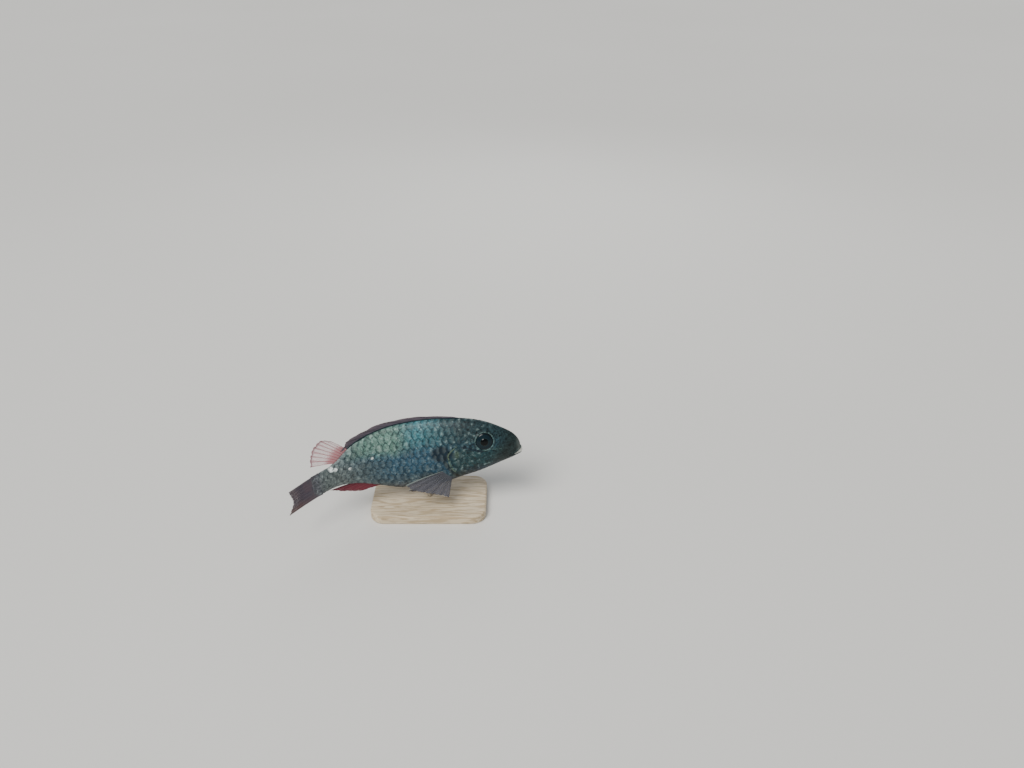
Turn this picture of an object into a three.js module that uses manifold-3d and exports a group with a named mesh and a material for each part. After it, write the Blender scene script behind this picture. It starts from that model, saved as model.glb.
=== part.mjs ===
import * as THREE from 'three';
import Module from 'manifold-3d';

// A redband parrotfish in its initial phase, life size, swimming with its tail swung to its right,
// held over a flat base by one rod. +X is the way the head points, +Z is up, and the origin lies
// in the middle of the underside of the base.

const wasm = await Module();
wasm.setup();

// Driving dimensions in millimetres. A share is a share of the standard length, which runs
// from the snout to the end of the tail stem.
const standardLength = 155;
const touchGap = 0.3;
const degree = Math.PI / 180;

const pose = {
  bend: 52 * degree,
  bendFrom: 0.3,
  bendOver: 0.9,
  noseUp: 4.5 * degree,
};

// Back, keel and half width of the body as shares, at shares of the length behind the snout
const stations = [
  { at: 0.000, back: -0.010, keel: -0.036, half: 0.000 },
  { at: 0.007, back: 0.028, keel: -0.047, half: 0.015 },
  { at: 0.030, back: 0.063, keel: -0.060, half: 0.030 },
  { at: 0.090, back: 0.105, keel: -0.083, half: 0.048 },
  { at: 0.175, back: 0.145, keel: -0.117, half: 0.064 },
  { at: 0.290, back: 0.171, keel: -0.156, half: 0.075 },
  { at: 0.440, back: 0.178, keel: -0.193, half: 0.076 },
  { at: 0.590, back: 0.172, keel: -0.189, half: 0.064 },
  { at: 0.730, back: 0.150, keel: -0.134, half: 0.046 },
  { at: 0.800, back: 0.131, keel: -0.099, half: 0.037 },
  { at: 0.860, back: 0.103, keel: -0.076, half: 0.030 },
  { at: 0.910, back: 0.074, keel: -0.063, half: 0.025 },
  { at: 0.950, back: 0.0625, keel: -0.059, half: 0.020 },
  { at: 1.000, back: 0.062, keel: -0.060, half: 0.014 },
];
const section = { upperPower: 1.12, lowerPower: 0.95, around: 48 };

const gillCover = { rear: 0.350, core: 0.3, level: 0.05, upperReach: 0.088, lowerReach: 0.115, proud: 0.9 };
const torsoEnd = 0.64;
const eye = { at: 0.168, height: 0.065, radius: 6.9, depth: 3.2, sunk: 1.6 };
const eyeRim = { radius: 6.95, thick: 0.85, rise: 0.42, steps: 28 };
const mouth = { front: -0.0055, back: 0.034, half: 0.0277, frontHeight: -0.023, dip: 0.012, corner: 1.12 };
const beak = { height: 1.85, cornerHeight: 0.5, thickness: 1.2, steps: 24, nodule: 0.1 };
const lip = { thick: 0.75, upperInset: 0.5, lowerInset: 0.8, steps: 18 };
const nostrils = [{ at: 0.093, height: 0.077, radius: 0.7 }, { at: 0.108, height: 0.085, radius: 0.55 }];

const membraneHalf = 0.25;
const rayRise = 0.22;

// The fins on the back and under the keel, at steps from their first ray to their last: where
// a ray starts, how long it is, and by how many degrees it rises from the body's line and leans
// to the left. The front of the dorsal fin is folded down, and its rear is spread.
const foldedDorsal = {
  rays: 13,
  rows: 5,
  base: [0.285, 0.45, 0.60, 0.72, 0.80, 0.848],
  length: [0.038, 0.057, 0.092, 0.097, 0.047, 0.024],
  rise: [10, 19, 15, 15, 20, 33],
  lean: [0, 0, 0, 0, 0, 0],
};
const spreadDorsal = {
  rays: 9,
  rows: 7,
  base: [0.838, 0.858, 0.878, 0.899, 0.920],
  length: [0.080, 0.113, 0.117, 0.110, 0.099],
  rise: [74, 78, 75, 61, 35],
  lean: [28, 32, 36, 38, 38],
};
const analFin = {
  rays: 10,
  rows: 6,
  base: [0.71, 0.75, 0.79, 0.825, 0.86],
  length: [0.042, 0.069, 0.087, 0.100, 0.102],
  rise: [28, 38, 29, 18, 9],
  lean: [0, 0, 0, 0, 0],
};
const tailFin = {
  rays: 15,
  rows: 7,
  baseHalf: 0.059,
  upperTip: { at: 1.176, height: 0.056 },
  middle: { at: 1.163, height: -0.004 },
  lowerTip: { at: 1.198, height: -0.062 },
};
// The paired fins: where the root starts and ends on the flank, by how many mm it is sunk into
// the flank, and the first and last ray as shares behind, below and out from the root
const rightPectoral = {
  side: -1,
  rays: 12,
  rows: 6,
  root: [{ at: 0.362, height: -0.082 }, { at: 0.345, height: -0.136 }],
  sunk: 1.2,
  first: [0.227, 0.020, 0.060],
  last: [0.021, 0.068, 0.080],
};
const leftPectoral = { ...rightPectoral, side: 1, first: [0.226, 0.024, 0.050], last: [0.036, 0.076, 0.060] };
const pairedFullness = 0.22;
const pelvicRoot = [{ at: 0.358, height: -0.162 }, { at: 0.384, height: -0.175 }];
const rightPelvic = {
  side: -1,
  rays: 6,
  rows: 6,
  root: pelvicRoot,
  sunk: 0.4,
  first: [0.215, 0.018, 0.024],
  last: [0.105, 0.036, 0.010],
};
const leftPelvic = { ...rightPelvic, side: 1, first: [0.208, 0.030, 0.032] };

const stand = {
  rodAt: 0.47,
  rodRadius: 1.8,
  rodLength: 12,
  length: 88,
  width: 54,
  height: 7,
  corner: 10,
  bevel: 1.2,
};

const looks = {
  skin: { color: 0x4b7072, roughness: 0.42, metalness: 0 },
  tailSkin: { color: 0x4a5a58, roughness: 0.45, metalness: 0 },
  finDull: { color: 0x574d52, roughness: 0.5, metalness: 0 },
  finRed: { color: 0x8c2c36, roughness: 0.5, metalness: 0 },
  finPale: { color: 0xa79f92, roughness: 0.5, metalness: 0 },
  eye: { color: 0x16323a, roughness: 0.1, metalness: 0 },
  beak: { color: 0xe9e4d2, roughness: 0.3, metalness: 0 },
  base: { color: 0xcdbfa8, roughness: 0.5, metalness: 0 },
  rod: { color: 0xb9b9b4, roughness: 0.3, metalness: 1 },
};

const clamp = (value) => Math.min(1, Math.max(0, value));

function ease(value) {
  const share = clamp(value);
  return share * share * (3 - 2 * share);
}

// A smooth curve through the given points that never overshoots them
function through(places, values) {
  const span = (i) => places[i + 1] - places[i];
  const rise = (i) => (values[i + 1] - values[i]) / span(i);
  const slopes = places.map((_, i) => {
    if (i === 0) {
      return rise(0);
    }
    if (i === places.length - 1) {
      return rise(i - 1);
    }
    if (rise(i - 1) * rise(i) <= 0) {
      return 0;
    }
    const before = 2 * span(i) + span(i - 1);
    const after = span(i) + 2 * span(i - 1);
    return (before + after) / (before / rise(i - 1) + after / rise(i));
  });
  return (place) => {
    const last = places.length - 2;
    const found = places.findIndex((end) => end > place) - 1;
    const i = found === -2 ? last : Math.max(0, found);
    const t = clamp((place - places[i]) / span(i));
    const pull = span(i) * t * (1 - t) * (slopes[i] * (1 - t) - slopes[i + 1] * t);
    return values[i] + (values[i + 1] - values[i]) * ease(t) + pull;
  };
}

// The stations are joined over the root of their place, which gives the snout its blunt round end
function bodyLine(name) {
  const roots = stations.map((station) => Math.sqrt(station.at));
  const line = through(roots, stations.map((station) => station[name]));
  return (at) => line(Math.sqrt(clamp(at)));
}
const back = bodyLine('back');
const keel = bodyLine('keel');
const half = bodyLine('half');

// A point of the skin at a turn round the body (0 left, a quarter turn up), raised by some mm
function skinPoint(at, turn, raise = 0) {
  const side = Math.cos(turn);
  const up = Math.sin(turn);
  const middle = (back(at) + keel(at)) / 2;
  const tall = (back(at) - keel(at)) / 2;
  const power = up > 0 ? section.upperPower : section.lowerPower;
  const across = half(at) * Math.sign(side) * Math.abs(side) ** power;
  const normal = new THREE.Vector2(side / Math.max(half(at), 0.004), up / tall).normalize();
  return new THREE.Vector3(
    -at * standardLength,
    across * standardLength + normal.x * raise,
    (middle + tall * up) * standardLength + normal.y * raise,
  );
}

// The middle of the body's depth
function coreOf(at) {
  return new THREE.Vector3(-at * standardLength, 0, (back(at) + keel(at)) / 2 * standardLength);
}

// The turn at which the skin reaches a height, on the left (+1) or right (-1) side
function turnAt(at, height, side) {
  const middle = (back(at) + keel(at)) / 2;
  const tall = (back(at) - keel(at)) / 2;
  const turn = Math.asin(THREE.MathUtils.clamp((height - middle) / tall, -1, 1));
  return side > 0 ? turn : Math.PI - turn;
}

function flankPoint(at, height, side) {
  return skinPoint(at, turnAt(at, height, side));
}

function flankNormal(at, height, side) {
  const turn = turnAt(at, height, side);
  const step = 0.01;
  const along = skinPoint(at + step, turn).sub(skinPoint(at - step, turn));
  const round = skinPoint(at, turn + step).sub(skinPoint(at, turn - step));
  return along.cross(round).normalize();
}

// The middle line of the bent body, in steps, and the way it heads at each
const heading = (at) => pose.bend * ease((at - pose.bendFrom) / pose.bendOver);
const lineStep = 0.002;
const middleLine = [new THREE.Vector2(0, 0)];
for (let i = 1; i * lineStep < 1.3; i += 1) {
  const angle = heading((i - 0.5) * lineStep);
  const stride = lineStep * standardLength;
  const step = new THREE.Vector2(Math.cos(angle), Math.sin(angle)).multiplyScalar(-stride);
  middleLine.push(middleLine[i - 1].clone().add(step));
}

function bent(point) {
  const at = -point.x / standardLength;
  const angle = heading(at);
  const steps = Math.max(0, at / lineStep);
  const i = Math.floor(steps);
  const x = at < 0 ? point.x : THREE.MathUtils.lerp(middleLine[i].x, middleLine[i + 1].x, steps - i);
  const y = at < 0 ? 0 : THREE.MathUtils.lerp(middleLine[i].y, middleLine[i + 1].y, steps - i);
  return new THREE.Vector3(x - point.y * Math.sin(angle), y + point.y * Math.cos(angle), point.z);
}

function pitched(point) {
  const cos = Math.cos(pose.noseUp);
  const sin = Math.sin(pose.noseUp);
  return new THREE.Vector3(point.x * cos - point.z * sin, point.y, point.x * sin + point.z * cos);
}

// The fish is carried so that the keel over the rod stands over the middle of the base
const overRod = new THREE.Vector3(-stand.rodAt, 0, keel(stand.rodAt)).multiplyScalar(standardLength);
const carried = pitched(bent(overRod));
const carry = new THREE.Vector3(-carried.x, -carried.y, stand.height + stand.rodLength - carried.z);
const posed = (point) => pitched(bent(point)).add(carry);

// A solid is kept as a list of points and a list of triangles
class Solid {
  constructor() {
    this.points = [];
    this.triangles = [];
  }

  add(point) {
    this.points.push(point);
    return this.points.length - 1;
  }

  quad(a, b, c, d) {
    this.triangles.push([a, b, c], [a, c, d]);
  }

  moved(move) {
    const copy = new Solid();
    copy.points = this.points.map(move);
    copy.triangles = this.triangles;
    return copy;
  }

  facingOut() {
    const volume = this.triangles.reduce((sum, [a, b, c]) => {
      const cross = this.points[b].clone().cross(this.points[c]);
      return sum + this.points[a].dot(cross);
    }, 0);
    if (volume < 0) {
      this.triangles = this.triangles.map(([a, b, c]) => [a, c, b]);
    }
    return this;
  }

  manifold() {
    const vertProperties = Float32Array.from(this.points.flatMap((point) => point.toArray()));
    const triVerts = Uint32Array.from(this.triangles.flat());
    return new wasm.Manifold(new wasm.Mesh({ numProp: 3, vertProperties, triVerts }));
  }

  static from(manifold) {
    const largest = manifold.decompose().sort((a, b) => b.volume() - a.volume())[0];
    const mesh = largest.getMesh();
    const solid = new Solid();
    for (let i = 0; i < mesh.numVert; i += 1) {
      solid.add(new THREE.Vector3().fromArray(mesh.vertProperties, i * mesh.numProp));
    }
    for (let i = 0; i < mesh.triVerts.length; i += 3) {
      solid.triangles.push(Array.from(mesh.triVerts.subarray(i, i + 3)));
    }
    return solid;
  }

  with(...others) {
    return Solid.from(others.reduce((sum, other) => sum.add(other.manifold()), this.manifold()));
  }

  without(...others) {
    const cut = others.reduce((left, other) => left.subtract(other.manifold()), this.manifold());
    return Solid.from(cut);
  }

  geometry() {
    const geometry = new THREE.BufferGeometry();
    const positions = this.points.flatMap((point) => point.toArray());
    geometry.setAttribute('position', new THREE.Float32BufferAttribute(positions, 3));
    geometry.setIndex(this.triangles.flat());
    geometry.computeVertexNormals();
    return geometry;
  }
}

// A closed body through rings of equal count, each end closed by a fan to its own middle point
function loft(rings, frontMiddle, rearMiddle) {
  const solid = new Solid();
  const rows = rings.map((ring) => ring.map((point) => solid.add(point)));
  const count = rings[0].length;
  for (let i = 0; i + 1 < rows.length; i += 1) {
    for (let j = 0; j < count; j += 1) {
      const next = (j + 1) % count;
      solid.quad(rows[i][j], rows[i][next], rows[i + 1][next], rows[i + 1][j]);
    }
  }
  const front = solid.add(frontMiddle);
  const rear = solid.add(rearMiddle);
  const lastRow = rows[rows.length - 1];
  for (let j = 0; j < count; j += 1) {
    const next = (j + 1) % count;
    solid.triangles.push([front, rows[0][next], rows[0][j]], [rear, lastRow[j], lastRow[next]]);
  }
  return solid.facingOut();
}

// A closed ring-shaped body through sections of equal count
function ringLoft(rings) {
  const solid = new Solid();
  const rows = rings.map((ring) => ring.map((point) => solid.add(point)));
  rows.forEach((row, i) => {
    const after = rows[(i + 1) % rows.length];
    row.forEach((point, j) => {
      const next = (j + 1) % row.length;
      solid.quad(point, row[next], after[next], after[j]);
    });
  });
  return solid.facingOut();
}

// A thin two-sided sheet over u and v from 0 to 1; both faces are split alike
function sheet(columns, rows, middle, halfThickness) {
  const solid = new Solid();
  const nudge = 0.001;
  const faces = [1, -1].map((face) => {
    const grid = [];
    for (let i = 0; i <= columns; i += 1) {
      const line = [];
      for (let j = 0; j <= rows; j += 1) {
        const u = i / columns;
        const v = j / rows;
        const alongU = middle(u + nudge, v).sub(middle(u - nudge, v));
        const alongV = middle(u, v + nudge).sub(middle(u, v - nudge));
        const normal = alongU.cross(alongV).normalize();
        line.push(solid.add(middle(u, v).addScaledVector(normal, face * halfThickness(u, v))));
      }
      grid.push(line);
    }
    return grid;
  });
  const [near, far] = faces;
  for (let i = 0; i < columns; i += 1) {
    for (let j = 0; j < rows; j += 1) {
      const corners = (grid) => [grid[i][j], grid[i + 1][j], grid[i + 1][j + 1], grid[i][j + 1]];
      const [a, b, c, d] = corners(near);
      const [e, f, g, h] = corners(far);
      solid.triangles.push([a, b, c], [a, c, d], [e, g, f], [e, h, g]);
    }
  }
  const rim = [];
  for (let i = 0; i < columns; i += 1) {
    rim.push([i, 0]);
  }
  for (let j = 0; j < rows; j += 1) {
    rim.push([columns, j]);
  }
  for (let i = columns; i > 0; i -= 1) {
    rim.push([i, rows]);
  }
  for (let j = rows; j > 0; j -= 1) {
    rim.push([0, j]);
  }
  rim.forEach(([i, j], k) => {
    const [m, n] = rim[(k + 1) % rim.length];
    solid.quad(near[i][j], far[i][j], far[m][n], near[m][n]);
  });
  return solid.facingOut();
}

// Where the head ends at each turn round the body: the rear edge of the gill covers on the sides
function headEnd(turn) {
  const up = Math.sin(turn);
  if (up > gillCover.level) {
    return gillCover.rear - gillCover.upperReach * ease((up - gillCover.level) / 0.5);
  }
  return gillCover.rear - gillCover.lowerReach * (gillCover.level - up) ** 3;
}

const ringTurns = Array.from({ length: section.around }, (_, j) => (j / section.around) * 2 * Math.PI);

// How far the gill cover stands out from the plain body: most at its rear edge, and a shallow
// groove where it meets the cheek
function headRelief(at, turn) {
  const toEdge = (headEnd(turn) - at) * standardLength;
  const side = ease((0.68 - Math.abs(Math.sin(turn) + 0.12)) / 0.3);
  const cover = gillCover.proud * ease(1 - toEdge / 13);
  const groove = 0.35 * Math.exp(-(((toEdge - 14.5) / 1.6) ** 2));
  return side * (cover - groove);
}

function makeHead() {
  const rows = 30;
  const start = 0.0012;
  const rings = Array.from({ length: rows + 1 }, (_, i) => {
    const share = start / 0.3 + (1 - start / 0.3) * (i / rows) ** 1.35;
    return ringTurns.map((turn) => {
      const at = share * headEnd(turn);
      return skinPoint(at, turn, headRelief(at, turn));
    });
  });
  const head = loft(rings, coreOf(0), coreOf(gillCover.core));
  const raised = [makeEyeRim(1), makeEyeRim(-1), makeLip(1), makeLip(-1)];
  const cut = [eyeball(1, touchGap), eyeball(-1, touchGap), mouthSlot(), ...nostrilPits()];
  return head.with(...raised).without(...cut);
}

function makeTorso() {
  const rows = 16;
  const gapShare = touchGap / standardLength;
  const rings = Array.from({ length: rows + 1 }, (_, i) => ringTurns.map((turn) => {
    const start = headEnd(turn) + gapShare;
    return skinPoint(THREE.MathUtils.lerp(start, torsoEnd, i / rows), turn);
  }));
  const front = coreOf(gillCover.core);
  front.x -= touchGap;
  return loft(rings, front, coreOf(torsoEnd));
}

function makeTail() {
  const rows = 15;
  const start = torsoEnd + touchGap / standardLength;
  const rings = Array.from({ length: rows + 1 }, (_, i) => {
    const at = THREE.MathUtils.lerp(start, 1, i / rows);
    return ringTurns.filter((_, j) => j % 2 === 0).map((turn) => skinPoint(at, turn));
  });
  return loft(rings, coreOf(start), coreOf(1));
}

// A flattened ball for the eye, sunk below the skin; grown by some mm it cuts the eye's socket
function eyeball(side, grow) {
  const normal = flankNormal(eye.at, eye.height, side);
  const centre = flankPoint(eye.at, eye.height, side).addScaledVector(normal, -eye.sunk);
  const turned = new THREE.Quaternion().setFromUnitVectors(new THREE.Vector3(0, 0, 1), normal);
  return ball(14, 24, (direction) => {
    const flat = eye.radius + grow;
    return new THREE.Vector3(direction.x * flat, direction.y * flat, direction.z * (eye.depth + grow))
      .applyQuaternion(turned)
      .add(centre);
  });
}

// A closed ball of bands and slices, each direction from its middle placed by a function
function ball(bands, slices, place) {
  const rings = [];
  for (let i = 1; i < bands; i += 1) {
    const polar = (i / bands) * Math.PI;
    rings.push(Array.from({ length: slices }, (_, j) => {
      const turn = (j / slices) * 2 * Math.PI;
      const wide = Math.sin(polar);
      return place(new THREE.Vector3(wide * Math.cos(turn), wide * Math.sin(turn), Math.cos(polar)));
    }));
  }
  return loft(rings, place(new THREE.Vector3(0, 0, 1)), place(new THREE.Vector3(0, 0, -1)));
}

// The rim of skin round the eye, each section set on the skin
function makeEyeRim(side) {
  const rings = Array.from({ length: eyeRim.steps }, (_, i) => {
    const turn = (i / eyeRim.steps) * 2 * Math.PI;
    const at = eye.at + (eyeRim.radius / standardLength) * Math.cos(turn);
    const height = eye.height + (eyeRim.radius / standardLength) * Math.sin(turn);
    const point = flankPoint(at, height, side);
    const normal = flankNormal(at, height, side);
    const outward = point.clone().sub(flankPoint(eye.at, eye.height, side)).normalize();
    return Array.from({ length: 8 }, (__, j) => {
      const round = (j / 8) * 2 * Math.PI;
      return point.clone()
        .addScaledVector(outward, eyeRim.thick * Math.cos(round))
        .addScaledVector(normal, eyeRim.rise * Math.sin(round));
    });
  });
  return ringLoft(rings);
}

function nostrilPits() {
  return [1, -1].flatMap((side) => nostrils.map(({ at, height, radius }) => {
    const centre = flankPoint(at, height, side);
    return ball(6, 8, (direction) => direction.clone().multiplyScalar(radius).add(centre));
  }));
}

// The line that the beak follows round the snout, share -1 at the right corner, 1 at the left
function beakLine(share) {
  const at = mouth.front + (mouth.back - mouth.front) * share * share;
  const height = mouth.frontHeight - mouth.dip * share * share;
  return new THREE.Vector3(-at, mouth.half * share, height).multiplyScalar(standardLength);
}

// A band swept along the beak's line: the section gives out and up offsets in mm at each share
function beakBand(steps, reach, sectionAt) {
  const rings = Array.from({ length: steps + 1 }, (_, i) => {
    const share = reach * (2 * (i / steps) - 1);
    const ahead = beakLine(share + 0.01).sub(beakLine(share - 0.01)).normalize();
    const outward = new THREE.Vector3(ahead.y, -ahead.x, 0).normalize();
    return sectionAt(share).map(([out, up]) => {
      const point = beakLine(share).addScaledVector(outward, out);
      point.z += up;
      return point;
    });
  });
  const middles = [rings[0], rings[steps]].map((ring) => {
    const sum = ring.reduce((total, point) => total.add(point), new THREE.Vector3());
    return sum.divideScalar(ring.length);
  });
  return loft(rings, ...middles);
}

// Half the height of the mouth's opening that the beak fills, least at its corners
function beakHeight(share) {
  return THREE.MathUtils.lerp(beak.cornerHeight, beak.height, 1 - Math.min(1, share * share));
}

function makeBeak(way) {
  return beakBand(beak.steps, 0.97, (share) => {
    const tall = beakHeight(share);
    const nodule = beak.nodule * Math.cos(share * beak.steps * Math.PI / 2);
    const edge = touchGap / 2 + 0.02 + (beak.nodule - nodule) * (1 - share * share);
    const inner = -beak.thickness;
    const upright = [[0.1, edge], [0, tall], [inner, tall], [inner, edge + 0.1]];
    return upright.map(([out, up]) => [out, up * way]);
  });
}

// The opening between the lips, cut through to the front and the sides
function mouthSlot() {
  return beakBand(18, mouth.corner, (share) => {
    const tall = beakHeight(share) + touchGap;
    const close = ease((mouth.corner - Math.abs(share)) / (mouth.corner - 1));
    const inner = -(beak.thickness + touchGap);
    const level = tall * close + 0.1;
    return [[4, level], [inner, level], [inner, -level], [4, -level]];
  });
}

// A lip is a roll of skin along the beak, above (way 1) or below (way -1) the opening
function makeLip(way) {
  const inset = way > 0 ? lip.upperInset : lip.lowerInset;
  return beakBand(lip.steps, mouth.corner + 0.12, (share) => {
    const fade = ease((mouth.corner + 0.14 - Math.abs(share)) / 0.3);
    const thick = lip.thick * (0.2 + 0.8 * fade);
    const level = beakHeight(share) * fade + 0.5 * lip.thick;
    return Array.from({ length: 8 }, (_, j) => {
      const round = (j / 8) * 2 * Math.PI;
      return [thick * Math.cos(round) - inset, way * (level + thick * Math.sin(round))];
    });
  });
}

// Rays are ridges of the membrane, highest at their root and fading to the margin
function rayedThickness(rays, rootHalf) {
  return (u, v) => {
    const ray = u * (rays - 1);
    const between = Math.abs(ray - Math.round(ray)) * 2;
    const ridge = rayRise * (1 - between) * (1 - 0.6 * v);
    const thin = THREE.MathUtils.lerp(membraneHalf, 0.15, ease((v - 0.75) / 0.25));
    return thin + ridge + rootHalf * (1 - ease(v / 0.18));
  };
}

// The share by which the margin falls back between two rays
function marginNotch(u, rays) {
  const ray = u * (rays - 1);
  return 0.06 * Math.abs(ray - Math.round(ray));
}

// A fin on the back (way 1) or under the keel (way -1)
function makeMedianFin(fin, line, way) {
  const places = fin.base.map((_, i) => i / (fin.base.length - 1));
  const baseAt = through(places, fin.base);
  const lengthAt = through(places, fin.length);
  const riseAt = through(places, fin.rise);
  const leanAt = through(places, fin.lean);
  const middle = (u, v) => {
    const at = baseAt(u);
    const reach = lengthAt(u) * (1 - marginNotch(u, fin.rays) * v) * standardLength * v;
    const slope = Math.atan2((line(at + 0.01) - line(at - 0.01)) * way, 0.02);
    const rise = riseAt(u) * degree;
    const lean = leanAt(u) * degree * ease(v / 0.5);
    const out = reach * Math.sin(rise);
    const along = reach * Math.cos(rise);
    const up = along * Math.sin(slope) + out * Math.cos(lean) * Math.cos(slope);
    const behind = along * Math.cos(slope) - out * Math.sin(slope);
    return new THREE.Vector3(
      -at * standardLength - behind,
      out * Math.sin(lean),
      line(at) * standardLength + way * (touchGap + 0.05 + up),
    );
  };
  return sheet(2 * (fin.rays - 1), fin.rows, middle, rayedThickness(fin.rays, 0.15));
}

function makeDorsalFin() {
  return makeMedianFin(foldedDorsal, back, 1).with(makeMedianFin(spreadDorsal, back, 1));
}

function makeTailFin() {
  const tips = [tailFin.lowerTip, tailFin.middle, tailFin.upperTip];
  const reachAt = through([0, 0.5, 1], tips.map((tip) => tip.at));
  const heightAt = through([0, 0.5, 1], tips.map((tip) => tip.height));
  const start = 1 + (touchGap + 0.02) / standardLength;
  const middle = (u, v) => {
    const height = THREE.MathUtils.lerp(tailFin.baseHalf * (2 * u - 1), heightAt(u), v);
    const at = THREE.MathUtils.lerp(start, reachAt(u), v);
    return new THREE.Vector3(-at, 0, height).multiplyScalar(standardLength);
  };
  return sheet(2 * (tailFin.rays - 1), tailFin.rows, middle, rayedThickness(tailFin.rays, 0.6));
}

function makePairedFin(fin) {
  const [top, low] = fin.root.map(({ at, height }) => flankPoint(at, height, fin.side));
  const normal = flankNormal(fin.root[0].at, fin.root[0].height, fin.side);
  const rayWay = ([behind, below, out]) => new THREE.Vector3(-behind, out * fin.side, -below);
  const ends = [rayWay(fin.first), rayWay(fin.last)];
  const middle = (u, v) => {
    const root = top.clone().lerp(low, u).addScaledVector(normal, -fin.sunk);
    const way = ends[0].clone().multiplyScalar(1 - u).addScaledVector(ends[1], u);
    const fullness = 1 + pairedFullness * Math.sin(u * Math.PI) * (1 - u);
    const reach = way.length() * fullness * (1 - marginNotch(u, fin.rays) * v);
    return root.addScaledVector(way.normalize(), reach * standardLength * v);
  };
  const plain = sheet(2 * (fin.rays - 1), fin.rows, middle, rayedThickness(fin.rays, 0.45));
  return plain.without(flankKeepClear());
}

// The body grown by the gap that touching pieces keep, from the gill covers to the tail
function flankKeepClear() {
  const rows = 18;
  const [front, rear] = [0.22, 0.7];
  const rings = Array.from({ length: rows + 1 }, (_, i) => {
    const at = THREE.MathUtils.lerp(front, rear, i / rows);
    return ringTurns.map((turn) => skinPoint(at, turn, touchGap + 0.05));
  });
  return loft(rings, coreOf(front), coreOf(rear));
}

function makeRod() {
  const sides = 20;
  const disc = (height) => Array.from({ length: sides }, (_, j) => {
    const turn = (j / sides) * 2 * Math.PI;
    return new THREE.Vector3(stand.rodRadius * Math.cos(turn), stand.rodRadius * Math.sin(turn), height);
  });
  const foot = stand.height + touchGap;
  const top = stand.height + stand.rodLength + 4;
  const rod = loft([disc(foot), disc(top)], new THREE.Vector3(0, 0, foot), new THREE.Vector3(0, 0, top));
  return rod.without(flankKeepClear().moved(posed));
}

function makeBase() {
  const x = stand.length / 2 - stand.bevel;
  const y = stand.width / 2 - stand.bevel;
  const r = stand.corner;
  const outline = new THREE.Shape();
  outline.absarc(x - r, y - r, r, 0, Math.PI / 2);
  outline.absarc(r - x, y - r, r, Math.PI / 2, Math.PI);
  outline.absarc(r - x, r - y, r, Math.PI, 1.5 * Math.PI);
  outline.absarc(x - r, r - y, r, 1.5 * Math.PI, 2 * Math.PI);
  const geometry = new THREE.ExtrudeGeometry(outline, {
    depth: stand.height - 2 * stand.bevel,
    bevelThickness: stand.bevel,
    bevelSize: stand.bevel,
    bevelSegments: 2,
    curveSegments: 6,
  });
  geometry.translate(0, 0, stand.bevel);
  return geometry;
}

const model = new THREE.Group();

function addPiece(name, geometry, look) {
  const mesh = new THREE.Mesh(geometry, new THREE.MeshStandardMaterial(look));
  mesh.name = name;
  model.add(mesh);
}

// Every piece of the fish is made straight and then bent and carried into the pose
function addFishPiece(name, solid, look) {
  addPiece(name, solid.moved(posed).geometry(), look);
}

addFishPiece('head', makeHead(), looks.skin);
addFishPiece('torso', makeTorso(), looks.skin);
addFishPiece('tail', makeTail(), looks.tailSkin);
addFishPiece('eye_left', eyeball(1, 0), looks.eye);
addFishPiece('eye_right', eyeball(-1, 0), looks.eye);
addFishPiece('beak_upper', makeBeak(1), looks.beak);
addFishPiece('beak_lower', makeBeak(-1), looks.beak);
addFishPiece('dorsal_fin', makeDorsalFin(), looks.finRed);
addFishPiece('anal_fin', makeMedianFin(analFin, keel, -1), looks.finRed);
addFishPiece('caudal_fin', makeTailFin(), looks.finDull);
addFishPiece('pectoral_fin_left', makePairedFin(leftPectoral), looks.finPale);
addFishPiece('pectoral_fin_right', makePairedFin(rightPectoral), looks.finPale);
addFishPiece('pelvic_fin_left', makePairedFin(leftPelvic), looks.finPale);
addFishPiece('pelvic_fin_right', makePairedFin(rightPelvic), looks.finPale);
addPiece('stand_base', makeBase(), looks.base);
addPiece('stand_rod', makeRod().geometry(), looks.rod);

export default model;
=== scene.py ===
import math

import bpy
import numpy as np
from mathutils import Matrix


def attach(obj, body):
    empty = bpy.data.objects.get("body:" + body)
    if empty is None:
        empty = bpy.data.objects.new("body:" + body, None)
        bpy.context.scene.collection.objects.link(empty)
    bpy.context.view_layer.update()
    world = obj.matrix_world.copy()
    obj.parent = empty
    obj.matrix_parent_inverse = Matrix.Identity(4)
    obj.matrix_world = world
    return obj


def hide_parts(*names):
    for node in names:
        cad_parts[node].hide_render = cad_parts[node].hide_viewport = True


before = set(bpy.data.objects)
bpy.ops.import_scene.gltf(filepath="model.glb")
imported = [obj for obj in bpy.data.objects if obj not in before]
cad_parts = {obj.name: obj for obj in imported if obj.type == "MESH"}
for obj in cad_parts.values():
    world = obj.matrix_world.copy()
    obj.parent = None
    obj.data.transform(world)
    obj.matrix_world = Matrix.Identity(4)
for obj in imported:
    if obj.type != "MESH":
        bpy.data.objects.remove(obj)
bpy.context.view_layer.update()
print("frame loaded with", len(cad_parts), "nodes")

# A redband parrotfish in its initial phase, its tail swung to its right, held over a flat base.
# Every piece is made straight, snout at the origin and tail towards -X, then bent and carried.
# A share is a share of the standard length, and lengths given in mm are turned into metres.
mm = 0.001
standardLength = 155 * mm
quarter = math.pi / 2

pose = {"bend": math.radians(52), "bendFrom": 0.3, "bendOver": 0.9, "noseUp": math.radians(4.5)}
stand = {"rodAt": 0.47, "rodLength": 12 * mm, "baseHeight": 7 * mm}

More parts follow.
